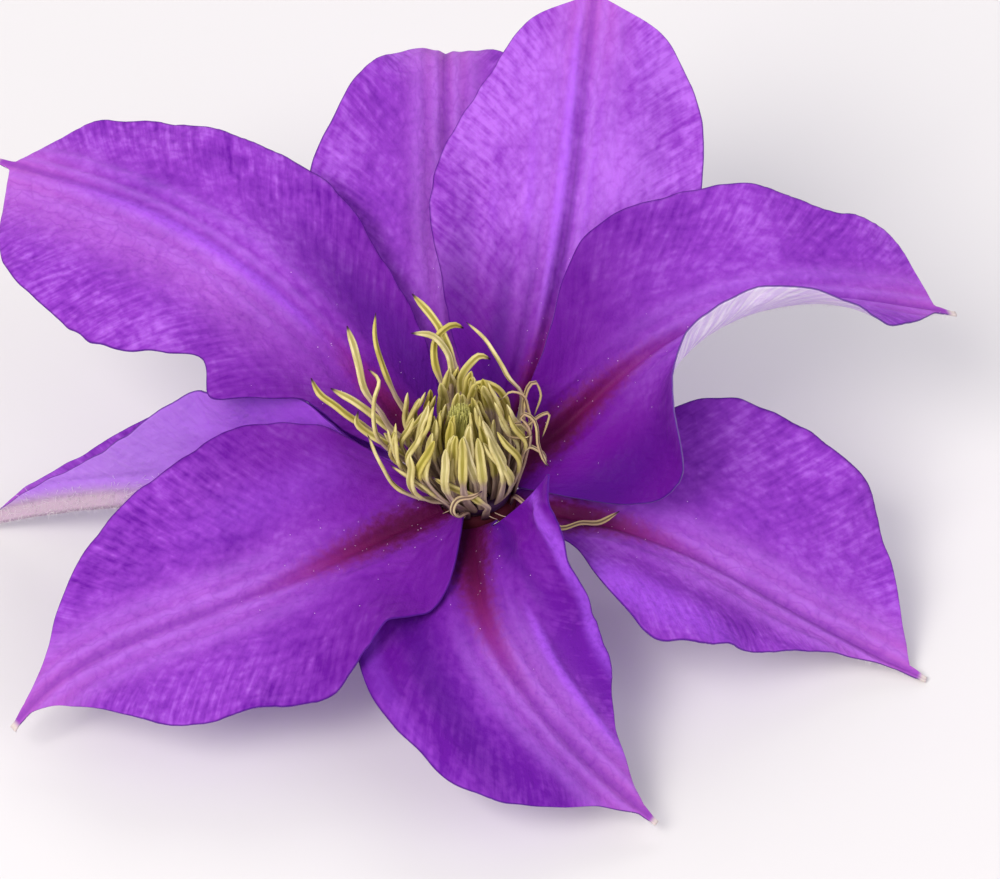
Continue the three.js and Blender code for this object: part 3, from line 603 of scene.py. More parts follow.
def stub_paths():
    draws = Draws(STUB_SEED)
    paths = []
    for k in range(STUBS["count"]):
        turn = math.radians(STUBS["start"] + STUBS["sweep"] * (k + draws.between(-0.9, 0.9)) / STUBS["count"])
        reach = draws.between(STUBS["shortest"], STUBS["longest"])
        bend = draws.between(-0.25, 0.25)
        rise = draws.between(-0.5, 0.6) * reach
        radii = (5.6, 5.9 + 0.5 * reach, 5.9 + 0.85 * reach)
        heights = (0.7, 0.5 + 0.2 * rise, 0.1 + 0.6 * rise)
        turns = (turn, turn + 0.5 * bend, turn + bend)
        paths.append([(r * math.cos(t), r * math.sin(t), h) for r, t, h in zip(radii, turns, heights)])
    return paths


def smooth_path(points, rows):
    """Evenly spaced points on a centripetal curve through the given ones."""
    p = np.asarray(points, float)
    p = np.vstack([2 * p[0] - p[1], p, 2 * p[-1] - p[-2]])
    pieces = []
    t = np.linspace(0, 1, 24, endpoint=False)[:, None]
    for i in range(1, len(p) - 2):
        x0, x1, x2, x3 = p[i - 1:i + 3]
        d0, d1, d2 = (np.linalg.norm(b - a) ** 0.5 for a, b in ((x0, x1), (x1, x2), (x2, x3)))
        t1 = ((x1 - x0) / d0 - (x2 - x0) / (d0 + d1) + (x2 - x1) / d1) * d1
        t2 = ((x2 - x1) / d1 - (x3 - x1) / (d1 + d2) + (x3 - x2) / d2) * d1
        square = 3 * (x2 - x1) - 2 * t1 - t2
        cube = 2 * (x1 - x2) + t1 + t2
        pieces.append(x1 + t1 * t + square * t ** 2 + cube * t ** 3)
    fine = np.vstack([*pieces, p[-2][None]])
    travel = np.concatenate([[0], np.cumsum(np.linalg.norm(np.diff(fine, axis=0), axis=1))])
    at = np.linspace(0, travel[-1], rows + 1)
    return np.stack([np.interp(at, travel, fine[:, k]) for k in range(3)], 1), travel[-1]


def path_sides(line, first_side):
    """Side and face directions carried along a path without twisting."""
    tangent = np.gradient(line, axis=0)
    tangent /= np.linalg.norm(tangent, axis=1, keepdims=True)
    sides = []
    side = np.asarray(first_side, float)
    for t in tangent:
        side = side - t * (side @ t)
        side = side / np.linalg.norm(side)
        sides.append(side)
    sides = np.array(sides)
    return sides, np.cross(tangent, sides)


def ring_points(centres, side, face, across, thick):
    """Rings of points round the centres, from each ring's shape along its side and face directions."""
    return centres[:, None] + side[:, None] * across[..., None] + face[:, None] * thick[..., None]


def tube_faces(rows, sides, first=0):
    """Quads round rings of points that follow each other, and a fan at each end."""
    faces = []
    for i in range(rows):
        for k in range(sides):
            a = first + i * sides + k
            b = first + i * sides + (k + 1) % sides
            faces.append((a, b, b + sides, a + sides))
    faces.append(tuple(first + k for k in reversed(range(sides))))
    faces.append(tuple(first + rows * sides + k for k in range(sides)))
    return faces


def stamen_section(share, length, anther_length, loose, dry):
    """Width, thickness and anther share of a stamen along its length."""
    start = max(1 - anther_length / length, 0.12)
    anther = np.clip((share - start + 0.05) / 0.1, 0, 1)
    anther = anther * anther * (3 - 2 * anther)
    shrink = 0.55 if dry else 0.86 if loose else 1.0
    root = ROOT_WIDTH * (0.5 if dry else 0.7 if loose else 1)
    thread = root + (FILAMENT_WIDTH * shrink - root) * np.clip(share / start, 0, 1)
    width = thread + (ANTHER_WIDTH * shrink * (1.08 - 0.2 * share) - thread) * anther
    thickness = FILAMENT_THICKNESS + (ANTHER_THICKNESS * shrink - FILAMENT_THICKNESS) * anther
    tip = np.clip((1 - share) * length / (2.4 if loose else 1.9), 0, 1)
    taper = 0.14 + 0.86 * tip ** (0.8 if loose else 0.6)
    return width * taper, thickness * taper, anther


def stamens_mesh():
    """All stamens and the ring that they grow from, in one mesh."""
    rng = np.random.default_rng(STRAP_SEED)
    turn = 2 * np.pi * np.arange(STAMEN_SIDES) / STAMEN_SIDES
    share = np.linspace(0, 1, STAMEN_ROWS + 1)
    points = []
    faces = []
    looks = []
    lengthwise = []
    for number, (path, loose, dry) in enumerate(stamen_paths()):
        line, length = smooth_path(path, STAMEN_ROWS)
        away = math.atan2(path[0][1], path[0][0])
        side, face = path_sides(line, (-math.sin(away), math.cos(away), 0))
        # dried stamens waver, and each strap twists a little
        waver = (0.5 if dry else 0.16) * np.clip(share * 3 - 0.6, 0, 1)
        for way, row in ((side, number), (face, number + 0.5)):
            bend = smooth_noise(share * length / 2.6, 0 * share + row, WAVER_SEED) * waver
            line = line + way * bend[:, None]
        twist = rng.uniform(-0.7, 0.7) * share ** 2
        side, face = (side * np.cos(twist)[:, None] + face * np.sin(twist)[:, None],
                      face * np.cos(twist)[:, None] - side * np.sin(twist)[:, None])
        anther_length = min(ANTHER_LENGTH, 0.6 * length) if loose else rng.uniform(*BUNDLE_ANTHER_LENGTH)
        width, thickness, anther = stamen_section(share, length, anther_length, loose, dry)
        wrinkle = smooth_noise(share * length / 2.2, 0 * share + number, WRINKLE_SEED)
        wrinkle = 1 + (0.2 if dry else 0.06) * wrinkle
        x = 0.5 * (width * wrinkle)[:, None] * np.cos(turn)
        dip = 1 - 0.6 * anther[:, None] * bell(np.cos(turn), 0.36)
        y = 0.5 * thickness[:, None] * np.sign(np.sin(turn)) * np.abs(np.sin(turn)) ** 0.7 * dip
        ring = ring_points(line, side, face, x, y)
        faces += tube_faces(STAMEN_ROWS, STAMEN_SIDES, first=number * STAMEN_SIDES * (STAMEN_ROWS + 1))
        points.append(ring.reshape(-1, 3))
        lengthwise.extend(np.repeat(share * length + 40.0 * number, STAMEN_SIDES))
        dark = np.clip(1 - (1 - share) * length / 1.2, 0, 1) * loose
        spread = 0 * share[:, None] + 0 * turn
        looks.append(np.stack([
            spread + anther[:, None],
            spread + bell(np.cos(turn), 0.45),
            spread + rng.uniform(0, 1),
            spread + dark[:, None],
            spread + float(dry),
        ], -1).reshape(-1, len(STAMEN_LOOKS)))
    count = sum(len(p) for p in points)
    sides = 56
    around = 2 * np.pi * np.arange(sides) / sides
    ring = [[(r * math.cos(a), r * math.sin(a), z) for a in around] for r, z in RING_SECTION]
    steps = len(RING_SECTION)
    for i in range(steps):
        for k in range(sides):
            a = count + i * sides + k
            b = count + i * sides + (k + 1) % sides
            c = count + ((i + 1) % steps) * sides + (k + 1) % sides
            d = count + ((i + 1) % steps) * sides + k
            faces.append((a, b, c, d))
    points.append(np.array(ring).reshape(-1, 3))
    looks.append(np.tile([0.0, 1.0, 0.4, 0.8, 0.0], (steps * sides, 1)))
    points = np.concatenate(points)
    looks = np.concatenate(looks)
    attributes = {key: looks[:, k] for k, key in enumerate(STAMEN_LOOKS)}
    # how low and near the axis a point is, for the painted shade on the stamens' feet
    near = np.clip(7.6 - np.hypot(points[:, 0], points[:, 1]), 0, 1)
    attributes["foot"] = near * np.clip(1.1 - points[:, 2] / 7, 0, 1)
    attributes["lengthwise"] = np.zeros(len(points))
    attributes["lengthwise"][:len(lengthwise)] = lengthwise
    return mesh_from("stamens_detailed", points, faces, attributes)


def threads(paths, radius, sides=6, rows=10):
    """Thin round threads along paths, tapering to their tips."""
    share = np.linspace(0, 1, rows + 1)
    turn = 2 * np.pi * np.arange(sides) / sides
    size = radius * (1 - 0.6 * share ** 2)
    points = []
    faces = []
    for number, path in enumerate(paths):
        line, _ = smooth_path(path, rows)
        side, face = path_sides(line, (-path[0][1], path[0][0], 0.1))
        ring = ring_points(line, side, face, size[:, None] * np.cos(turn), size[:, None] * np.sin(turn))
        faces += tube_faces(rows, sides, number * (rows + 1) * sides)
        points.append(ring.reshape(-1, 3))
    tip = np.tile(np.repeat(share, sides), len(paths))
    return np.concatenate(points), faces, tip


def styles_mesh():
    """The core and the free ends of the styles, in one mesh."""
    sides = 20
    rows = 24
    share = np.linspace(0, 1, rows + 1)
    height = 0.5 + 14.5 * share
    radius = np.interp(height, [z for _, z in STYLE_CORE], [r for r, _ in STYLE_CORE])
    turn = 2 * np.pi * np.arange(sides) / sides
    flute = 1 + 0.05 * np.cos(5 * turn)
    over = 1 - (1 - height[:, None] / HEAD_HEIGHT) ** 2
    x = radius[:, None] * flute * np.cos(turn) + HEAD_LEAN[0] * over
    y = radius[:, None] * flute * np.sin(turn) + HEAD_LEAN[1] * over
    core = np.stack([x, y, height[:, None] + 0 * x], -1)
    points = [core.reshape(-1, 3)]
    faces = tube_faces(rows, sides)
    tip = [np.repeat(share * 0.5, sides)]
    rng = np.random.default_rng(STYLE_SEED)
    paths = []
    for k in range(STYLE_COUNT):
        away = GOLDEN_ANGLE * k
        inner = STYLE_SPREAD * math.sqrt((k + 0.5) / STYLE_COUNT)
        top = STYLE_TOP - 1.1 * (inner / STYLE_SPREAD) ** 2 + rng.uniform(-0.7, 0.4)
        spread = inner + rng.uniform(0.1, 0.5)
        swing = away + rng.uniform(-0.6, 0.6)
        paths.append([lean(inner, away, 9), lean(inner + 0.15, away, 12.5), lean(spread, swing, top)])
    strand_points, strand_faces, strand_tip = threads(paths, STYLE_RADIUS, sides=5, rows=8)
    first = len(points[0])
    faces += [tuple(first + i for i in face) for face in strand_faces]
    points.append(strand_points)
    tip.append(0.4 + 0.6 * strand_tip)
    return mesh_from("styles_detailed", np.concatenate(points), faces, {"tip": np.concatenate(tip)})


def stubs_mesh():
    points, faces, tip = threads(stub_paths(), STUB_RADIUS)
    return mesh_from("stamen_stubs", points, faces, {"dry": 0.9 + 0 * tip})


def receptacle_mesh():
    """Cup and stalk as one skin: rings down the axis and on round the stalk's bend."""
    sides = 40
    turn = 2 * np.pi * np.arange(sides) / sides
    centres = [(0, 0, z) for _, z in RECEPTACLE_PROFILE]
    radii = [r for r, _ in RECEPTACLE_PROFILE]
    line, _ = smooth_path(STALK_PATH, 40)
    centres += [tuple(p) for p in line[1:]]
    radii += list(np.interp(np.linspace(0, 1, 41)[1:], [0, 0.2, 1], [1.6, STALK_RADIUS, STALK_RADIUS]))
    centres = np.array(centres)
    radii = np.array(radii)[:, None]
    tangent = np.gradient(centres, axis=0)
    tangent /= np.linalg.norm(tangent, axis=1, keepdims=True)
    side = np.tile([1.0, 0.0, 0.0], (len(centres), 1))
    face = np.cross(tangent, side)
    points = ring_points(centres, side, face, radii * np.cos(turn), radii * np.sin(turn)).reshape(-1, 3)
    faces = tube_faces(len(centres) - 1, sides)
    return mesh_from("receptacle_detailed", points, faces, {"height": points[:, 2]})


def linear(code, alpha=1.0):
    """Scene-linear colour from an sRGB hex value."""
    parts = [int(code[i:i + 2], 16) / 255 for i in (1, 3, 5)]
    return (*[c / 12.92 if c <= 0.04045 else ((c + 0.055) / 1.055) ** 2.4 for c in parts], alpha)


def add(tree, kind, inputs=None, **settings):
    """Adds a node, sets its options, and fills or links its inputs by name or number."""
    node = tree.nodes.new(kind)
    for key, value in settings.items():
        setattr(node, key, value)
    for key, value in (inputs or {}).items():
        socket = node.inputs[key]
        if isinstance(value, bpy.types.NodeSocket):
            tree.links.new(value, socket)
        else:
            socket.default_value = value
    return node


def new_material(name):
    material = bpy.data.materials.new(name)
    material.use_nodes = True
    material.node_tree.nodes.clear()
    return material, material.node_tree


def paint(tree, colour, coats):
    """Lays coats of colour one over another, each as strong as the product of its fades."""
    for code, fades in coats:
        strength = 1.0
        for source, start, end, first, last in fades:
            fade = add(tree, "ShaderNodeMapRange", {0: source, 1: start, 2: end, 3: first, 4: last},
                       interpolation_type="SMOOTHSTEP").outputs[0]
            strength = add(tree, "ShaderNodeMath", {0: fade, 1: strength}, operation="MULTIPLY").outputs[0]
        colour = add(tree, "ShaderNodeMix", {0: strength, 6: colour, 7: linear(code)},
                     data_type="RGBA").outputs[2]
    return colour


def petal_tissue():
    """Clematis sepal: velvety cells full of violet sap over pale spongy tissue, thin, a little see-through.
    The upper face is deep violet with a red-purple bar at the base and a pinkish middle, with painted shade
    round the foot and in the furrows, and painted highlight and shade on the crinkles and ribs; the lower
    face is mottled lilac with a downy whitish keel."""
    material, tree = new_material("petal_tissue")
    blade = add(tree, "ShaderNodeAttribute", attribute_name="blade").outputs["Vector"]
    share, crease, reach, upper, strength, shift, bar_share, lighter, white_back, lively, foot_shade = (
        add(tree, "ShaderNodeAttribute", attribute_name=name).outputs["Fac"]
        for name in ("share", "crease", "reach", "upper", *LOOKS))
    place = add(tree, "ShaderNodeSeparateXYZ", {0: blade}).outputs
    out = add(tree, "ShaderNodeMath", {0: place["Y"]}, operation="ABSOLUTE").outputs[0]
    where = add(tree, "ShaderNodeTexCoord").outputs["Object"]
    flat = add(tree, "ShaderNodeCombineXYZ", {0: place["Z"], 1: place["Y"]}).outputs[0]

    # soft crinkles along the side veins, 1 mm apart and 4.5 mm long, and velvety mottling 0.9 mm across
    textures = []
    for source, stretch in ((blade, (1.0, 0.22, 0.0)), (flat, (1.1, 1.1, 0.0))):
        spot = add(tree, "ShaderNodeVectorMath", {0: source, 1: stretch}, operation="MULTIPLY").outputs[0]
        textures.append(add(tree, "ShaderNodeTexNoise", {
            "Vector": spot, "Scale": 1.0, "Detail": 2.0, "Roughness": 0.5}).outputs["Fac"])
    crinkle, fine = textures
    # blotches about 12 mm across
    blotch = add(tree, "ShaderNodeTexNoise", {"Vector": where, "Scale": 80.0, "Detail": 3.0}).outputs["Fac"]
    # tissue bulges 2 mm by 1.3 mm, and a net of fine veins with meshes 4.2 mm by 1.4 mm
    warp = add(tree, "ShaderNodeTexNoise", {"Vector": flat, "Scale": 0.35, "Detail": 1.0}).outputs["Color"]
    nets = []
    for stretch, feature in (((0.5, 0.78, 0.0), "F1"), ((0.24, 0.72, 0.0), "DISTANCE_TO_EDGE")):
        cells = add(tree, "ShaderNodeVectorMath", {0: flat, 1: stretch}, operation="MULTIPLY").outputs[0]
        bent = add(tree, "ShaderNodeVectorMath", {0: warp, 1: (1.6, 1.6, 0.0), 2: cells},
                   operation="MULTIPLY_ADD").outputs[0]
        nets.append(add(tree, "ShaderNodeTexVoronoi", {"Vector": bent, "Scale": 1.0, "Randomness": 1.0},
                        feature=feature).outputs["Distance"])
    bulge, net = nets

    # light and dark of the upper face: the crinkles and bulges are partly their own tone and partly painted
    # shade and highlight of their relief, with crinkles only towards the margins
    spread = add(tree, "ShaderNodeMapRange", {0: reach, 1: 0.3, 2: 0.75, 3: 0.1, 4: 1.0}).outputs[0]
    folds = add(tree, "ShaderNodeMath", {0: crinkle, 1: 0.5}, operation="SUBTRACT").outputs[0]
    folds = add(tree, "ShaderNodeMath", {0: folds, 1: spread}, operation="MULTIPLY").outputs[0]
    cells = add(tree, "ShaderNodeMath", {0: bulge, 1: -0.14, 2: 0.07}, operation="MULTIPLY_ADD").outputs[0]
    cells = add(tree, "ShaderNodeMath", {0: folds, 1: 0.4, 2: cells}, operation="MULTIPLY_ADD").outputs[0]
    mixed = add(tree, "ShaderNodeMath", {0: lighter, 1: 0.3}, operation="ADD").outputs[0]
    for source, amount in ((cells, lively), (fine, 0.12), (blotch, 0.28)):
        sum_node = add(tree, "ShaderNodeMath", {0: source, 1: amount, 2: mixed}, operation="MULTIPLY_ADD")
        mixed = sum_node.outputs[0]
    violet = add(tree, "ShaderNodeValToRGB", {0: mixed})
    ramp = violet.color_ramp
    ramp.elements[0].position = 0.36
    ramp.elements[0].color = linear("#651399")
    ramp.elements[1].position = 0.64
    ramp.elements[1].color = linear("#b369e1")
    ramp.elements.new(0.5).color = linear("#8d3bbc")
    # how far a point is across the red bar, which narrows and ends at its share of the length
    bar = add(tree, "ShaderNodeMath", {0: share, 1: bar_share}, operation="DIVIDE").outputs[0]
    bar_width = add(tree, "ShaderNodeMapRange", {0: bar, 1: 0.0, 2: 1.0, 3: 3.6, 4: 1.3}).outputs[0]
    inside = add(tree, "ShaderNodeMath", {0: out, 1: bar_width}, operation="DIVIDE").outputs[0]
    inside = add(tree, "ShaderNodeMath", {0: fine, 1: -1.1, 2: inside}, operation="MULTIPLY_ADD").outputs[0]
    from_band = add(tree, "ShaderNodeMath", {0: place["Y"], 1: shift}, operation="SUBTRACT").outputs[0]
    from_band = add(tree, "ShaderNodeMath", {0: from_band}, operation="ABSOLUTE").outputs[0]
    in_band = add(tree, "ShaderNodeMapRange", {0: from_band, 1: 0.5, 2: 11.0, 3: 1.0, 4: 0.0},
                  interpolation_type="SMOOTHSTEP").outputs[0]
    in_band = add(tree, "ShaderNodeMath", {0: in_band, 1: strength}, operation="MULTIPLY").outputs[0]
    top = paint(tree, violet.outputs["Color"], [
        # pinkish pale band beside the midrib
        ("#b066ca", [(in_band, 0.0, 1.0, 0.0, 0.75), (share, 0.18, 0.5, 0.15, 1.0),
                     (fine, 0.3, 0.5, 0.7, 1.0)]),
        # pinker towards the tip
        ("#b45cc0", [(out, 0.0, 9.0, 1.0, 0.0), (share, 0.7, 0.98, 0.0, 0.6)]),
        # painted highlights make the ribs pale either side of a darker line of painted shade along the midrib
        ("#b878ea", [(out, 0.7, 1.7, 0.0, 0.3), (out, 1.7, 2.9, 1.0, 0.0), (share, 0.2, 0.4, 0.0, 1.0)]),
        ("#b878ea", [(out, 2.8, 4.4, 0.0, 0.2), (out, 4.4, 6.4, 1.0, 0.0), (share, 0.2, 0.4, 0.0, 1.0)]),
        ("#6a1898", [(out, 0.2, 0.9, 0.4, 0.0), (share, 0.25, 0.4, 0.0, 1.0)]),
        # fine darker veins in the middle
        ("#7c2aa6", [(net, 0.0, 0.14, 0.26, 0.0), (in_band, 0.0, 0.8, 0.25, 1.0), (share, 0.1, 0.3, 0.0, 1.0),
                     (reach, 0.5, 0.9, 1.0, 0.3)]),
        # painted shade: deeper violet round the foot of the blade, and at the sides of the foot
        ("#680890", [(share, 0.05, 0.52, 0.95, 0.0), (in_band, 0.0, 1.0, 1.0, 0.6),
                     (foot_shade, 0.0, 2.0, 0.0, 2.0)]),
        ("#560780", [(share, 0.15, 0.62, 0.5, 0.0), (reach, 0.2, 0.9, 0.0, 1.0),
                     (foot_shade, 0.0, 2.0, 0.0, 2.0)]),
        # painted shade makes the furrows deeper violet, and a painted highlight lightens the ridges
        ("#46087a", [(crease, -0.9, -0.1, 0.7, 0.0)]),
        ("#ad5cf0", [(crease, 0.1, 0.8, 0.0, 0.55), (fine, 0.35, 0.55, 0.75, 1.0)]),
        # red-purple bar along the base of the midrib, darker at its root
        ("#861866", [(inside, -0.5, 0.8, 0.94, 0.0), (bar, 0.25, 1.0, 1.0, 0.0)]),
        ("#480532", [(inside, -0.3, 1.2, 0.88, 0.0), (bar, 0.14, 0.68, 1.0, 0.0)]),
    ])
    lilac = add(tree, "ShaderNodeMix", {0: mixed, 6: linear("#8d4bc8"), 7: linear("#c493ea")},
                data_type="RGBA").outputs[2]
    back = paint(tree, lilac, [
        # violet towards the foot
        ("#9038c8", [(share, 0.2, 0.65, 0.85, 0.0)]),
        # downy whitish keel
        ("#bfabb1", [(out, 1.2, 4.2, 0.85, 0.0), (share, 0.45, 0.7, 0.0, 1.0)]),
        # whole back whitish with lilac tints
        ("#ece6ee", [(white_back, 0.0, 1.0, 0.0, 0.9), (crinkle, 0.3, 0.62, 1.0, 0.6)]),
    ])
    colour = add(tree, "ShaderNodeMix", {0: upper, 6: back, 7: top}, data_type="RGBA").outputs[2]
    colour = paint(tree, colour, [
        # dark line along the margin, and a whitish point
        ("#43107a", [(reach, 0.985, 1.0, 0.0, 0.8)]),
        ("#d9cfc4", [(share, 0.975, 0.992, 0.0, 0.9)]),
    ])

    # cells drawn 0.3 mm coarse so that they show, and the crinkles
    grain = add(tree, "ShaderNodeTexNoise", {"Vector": where, "Scale": 3300.0, "Detail": 1.0}).outputs["Fac"]
    height = add(tree, "ShaderNodeMath", {0: bulge, 1: -0.6, 2: folds}, operation="MULTIPLY_ADD").outputs[0]
    height = add(tree, "ShaderNodeMath", {0: height, 1: lively}, operation="MULTIPLY").outputs[0]
    for source, amount in ((fine, 0.6), (grain, 0.2)):
        height = add(tree, "ShaderNodeMath", {0: source, 1: amount, 2: height},
                     operation="MULTIPLY_ADD").outputs[0]
    bump = add(tree, "ShaderNodeBump", {"Strength": 0.4, "Distance": 0.0006, "Height": height}).outputs[0]
    shader = add(tree, "ShaderNodeBsdfPrincipled", {
        "Base Color": colour, "Roughness": 0.55, "IOR": 1.4, "Specular IOR Level": 0.12, "Normal": bump,
        "Subsurface Weight": 0.12, "Subsurface Radius": (0.8, 0.25, 0.9), "Subsurface Scale": 0.0012,
        "Sheen Weight": 0.02, "Sheen Roughness": 0.5, "Sheen Tint": linear("#e0a8ff")})
    add(tree, "ShaderNodeOutputMaterial", {"Surface": shader.outputs[0]})
    return material


def anther_tissue():
    """Clematis stamens: dry cream pollen sacs either side of an olive connective, on flat mauve threads."""
    material, tree = new_material("anther_tissue")
    anther, groove, tone, tip, dry, foot, travel = (
        add(tree, "ShaderNodeAttribute", attribute_name=name).outputs["Fac"]
        for name in (*STAMEN_LOOKS, "foot", "lengthwise"))
    # streaks about 3 mm long and 0.25 mm wide
    across = add(tree, "ShaderNodeMath", {0: groove, 1: 2.4}, operation="MULTIPLY").outputs[0]
    travel = add(tree, "ShaderNodeMath", {0: travel, 1: 0.35}, operation="MULTIPLY").outputs[0]
    streak = add(tree, "ShaderNodeCombineXYZ", {0: travel, 1: across}).outputs[0]
    fleck = add(tree, "ShaderNodeTexNoise", {"Vector": streak, "Scale": 1.0, "Detail": 3.0}).outputs["Fac"]
    cream = add(tree, "ShaderNodeMix", {0: tone, 6: linear("#d3c468"), 7: linear("#eaddaa")},
                data_type="RGBA").outputs[2]
    sac = paint(tree, cream, [
        # shaded grains, and the olive strip between the sacs
        ("#a3923e", [(fleck, 0.35, 0.65, 0.55, 0.0)]),
        ("#8b8024", [(groove, 0.1, 0.8, 0.0, 0.85), (tone, 0.2, 1.0, 1.0, 0.6)]),
    ])
    thread = add(tree, "ShaderNodeMix", {0: fleck, 6: linear("#8f7068"), 7: linear("#d9c6a8")},
                 data_type="RGBA").outputs[2]
    thread = paint(tree, thread, [("#6f5563", [(groove, 0.2, 0.9, 0.0, 0.5)])])
    colour = add(tree, "ShaderNodeMix", {0: anther, 6: thread, 7: sac}, data_type="RGBA").outputs[2]
    colour = paint(tree, colour, [
        # dried ones are browner, with a dark crease
        ("#b0907c", [(dry, 0.0, 1.0, 0.0, 0.85), (fleck, 0.42, 0.58, 1.0, 0.55)]),
        ("#4b2c33", [(dry, 0.0, 1.0, 0.0, 0.85), (groove, 0.2, 0.9, 0.0, 1.0)]),
        # mauve-brown feet with painted shade, darkest low down by the receptacle, and purple tips
        ("#7b5a58", [(foot, 0.1, 0.85, 0.0, 0.6)]),
        ("#35122c", [(foot, 0.78, 1.05, 0.0, 1.0)]),
        ("#35143c", [(tip, 0.0, 0.8, 0.0, 1.0)]),
    ])
    bump = add(tree, "ShaderNodeBump", {"Strength": 0.4, "Distance": 0.0002, "Height": fleck}).outputs[0]
    shader = add(tree, "ShaderNodeBsdfPrincipled", {
        "Base Color": colour, "Roughness": 0.6, "IOR": 1.4, "Specular IOR Level": 0.3, "Normal": bump,
        "Subsurface Weight": 0.08, "Subsurface Radius": (1.0, 0.8, 0.4), "Subsurface Scale": 0.0006})
    add(tree, "ShaderNodeOutputMaterial", {"Surface": shader.outputs[0]})
    return material


def style_tissue():
    """Styles and stigmas: soft yellow-green threads, paler and downy at their ends."""
    material, tree = new_material("style_tissue")
    tip = add(tree, "ShaderNodeAttribute", attribute_name="tip").outputs["Fac"]
    where = add(tree, "ShaderNodeTexCoord").outputs["Object"]
    # flecks 0.7 mm across
    fleck = add(tree, "ShaderNodeTexNoise", {"Vector": where, "Scale": 1500.0, "Detail": 2.0}).outputs["Fac"]
    green = add(tree, "ShaderNodeMix", {0: tip, 6: linear("#8b8a2c"), 7: linear("#cfcb84")},
                data_type="RGBA").outputs[2]
    colour = add(tree, "ShaderNodeMix", {0: fleck, 6: green, 7: linear("#b3ad52")},
                 data_type="RGBA").outputs[2]
    shader = add(tree, "ShaderNodeBsdfPrincipled", {
        "Base Color": colour, "Roughness": 0.65, "IOR": 1.4, "Specular IOR Level": 0.25,
        "Subsurface Weight": 0.1, "Subsurface Radius": (0.8, 1.0, 0.3), "Subsurface Scale": 0.0006})
    add(tree, "ShaderNodeOutputMaterial", {"Surface": shader.outputs[0]})
    return material


def stalk_skin():
    """Young clematis stalk: matte green skin flushed with purple in patches about 5 mm across."""
    material, tree = new_material("stalk_skin")
    where = add(tree, "ShaderNodeTexCoord").outputs["Object"]
    patch = add(tree, "ShaderNodeTexNoise", {"Vector": where, "Scale": 220.0, "Detail": 3.0}).outputs["Fac"]
    flush = add(tree, "ShaderNodeMapRange", {0: patch, 1: 0.42, 2: 0.66, 3: 0.0, 4: 0.8}).outputs[0]
    colour = add(tree, "ShaderNodeMix", {0: flush, 6: linear("#7d8a3c"), 7: linear("#6a4152")},
                 data_type="RGBA").outputs[2]
    # painted shade: the cup's rim, deep between the sepals' red-purple feet, is painted near-black red-purple
    up = add(tree, "ShaderNodeAttribute", attribute_name="height").outputs["Fac"]
    colour = paint(tree, colour, [("#3d0a1a", [(up, -4.6, -2.4, 0.0, 1.0)])])
    bump = add(tree, "ShaderNodeBump", {"Strength": 0.4, "Distance": 0.0003, "Height": patch}).outputs[0]
    shader = add(tree, "ShaderNodeBsdfPrincipled", {
        "Base Color": colour, "Roughness": 0.7, "IOR": 1.42, "Specular IOR Level": 0.12, "Normal": bump})
    add(tree, "ShaderNodeOutputMaterial", {"Surface": shader.outputs[0]})
    return material


def plant_down():
    """Fine silvery hairs, hollow and dry, so that they look whitish."""
    material, tree = new_material("plant_down")
    shader = add(tree, "ShaderNodeBsdfPrincipled", {
        "Base Color": linear("#e6dfe4"), "Roughness": 0.5, "IOR": 1.4, "Specular IOR Level": 0.4})
    add(tree, "ShaderNodeOutputMaterial", {"Surface": shader.outputs[0]})
    return material


def pollen_grain():
    """Pale specks of pollen and sap that glint on the velvet near the flower's middle."""
    material, tree = new_material("pollen_grain")
    shader = add(tree, "ShaderNodeBsdfPrincipled", {
        "Base Color": linear("#f0d9ea"), "Roughness": 0.35, "IOR": 1.4, "Specular IOR Level": 0.5})
    add(tree, "ShaderNodeOutputMaterial", {"Surface": shader.outputs[0]})
    return material


def pale_floor():
    """Matte white studio board."""
    material, tree = new_material("pale_floor")
    shader = add(tree, "ShaderNodeBsdfPrincipled", {"Base Color": linear("#e2dfe1"), "Roughness": 0.8})
    add(tree, "ShaderNodeOutputMaterial", {"Surface": shader.outputs[0]})
    return material


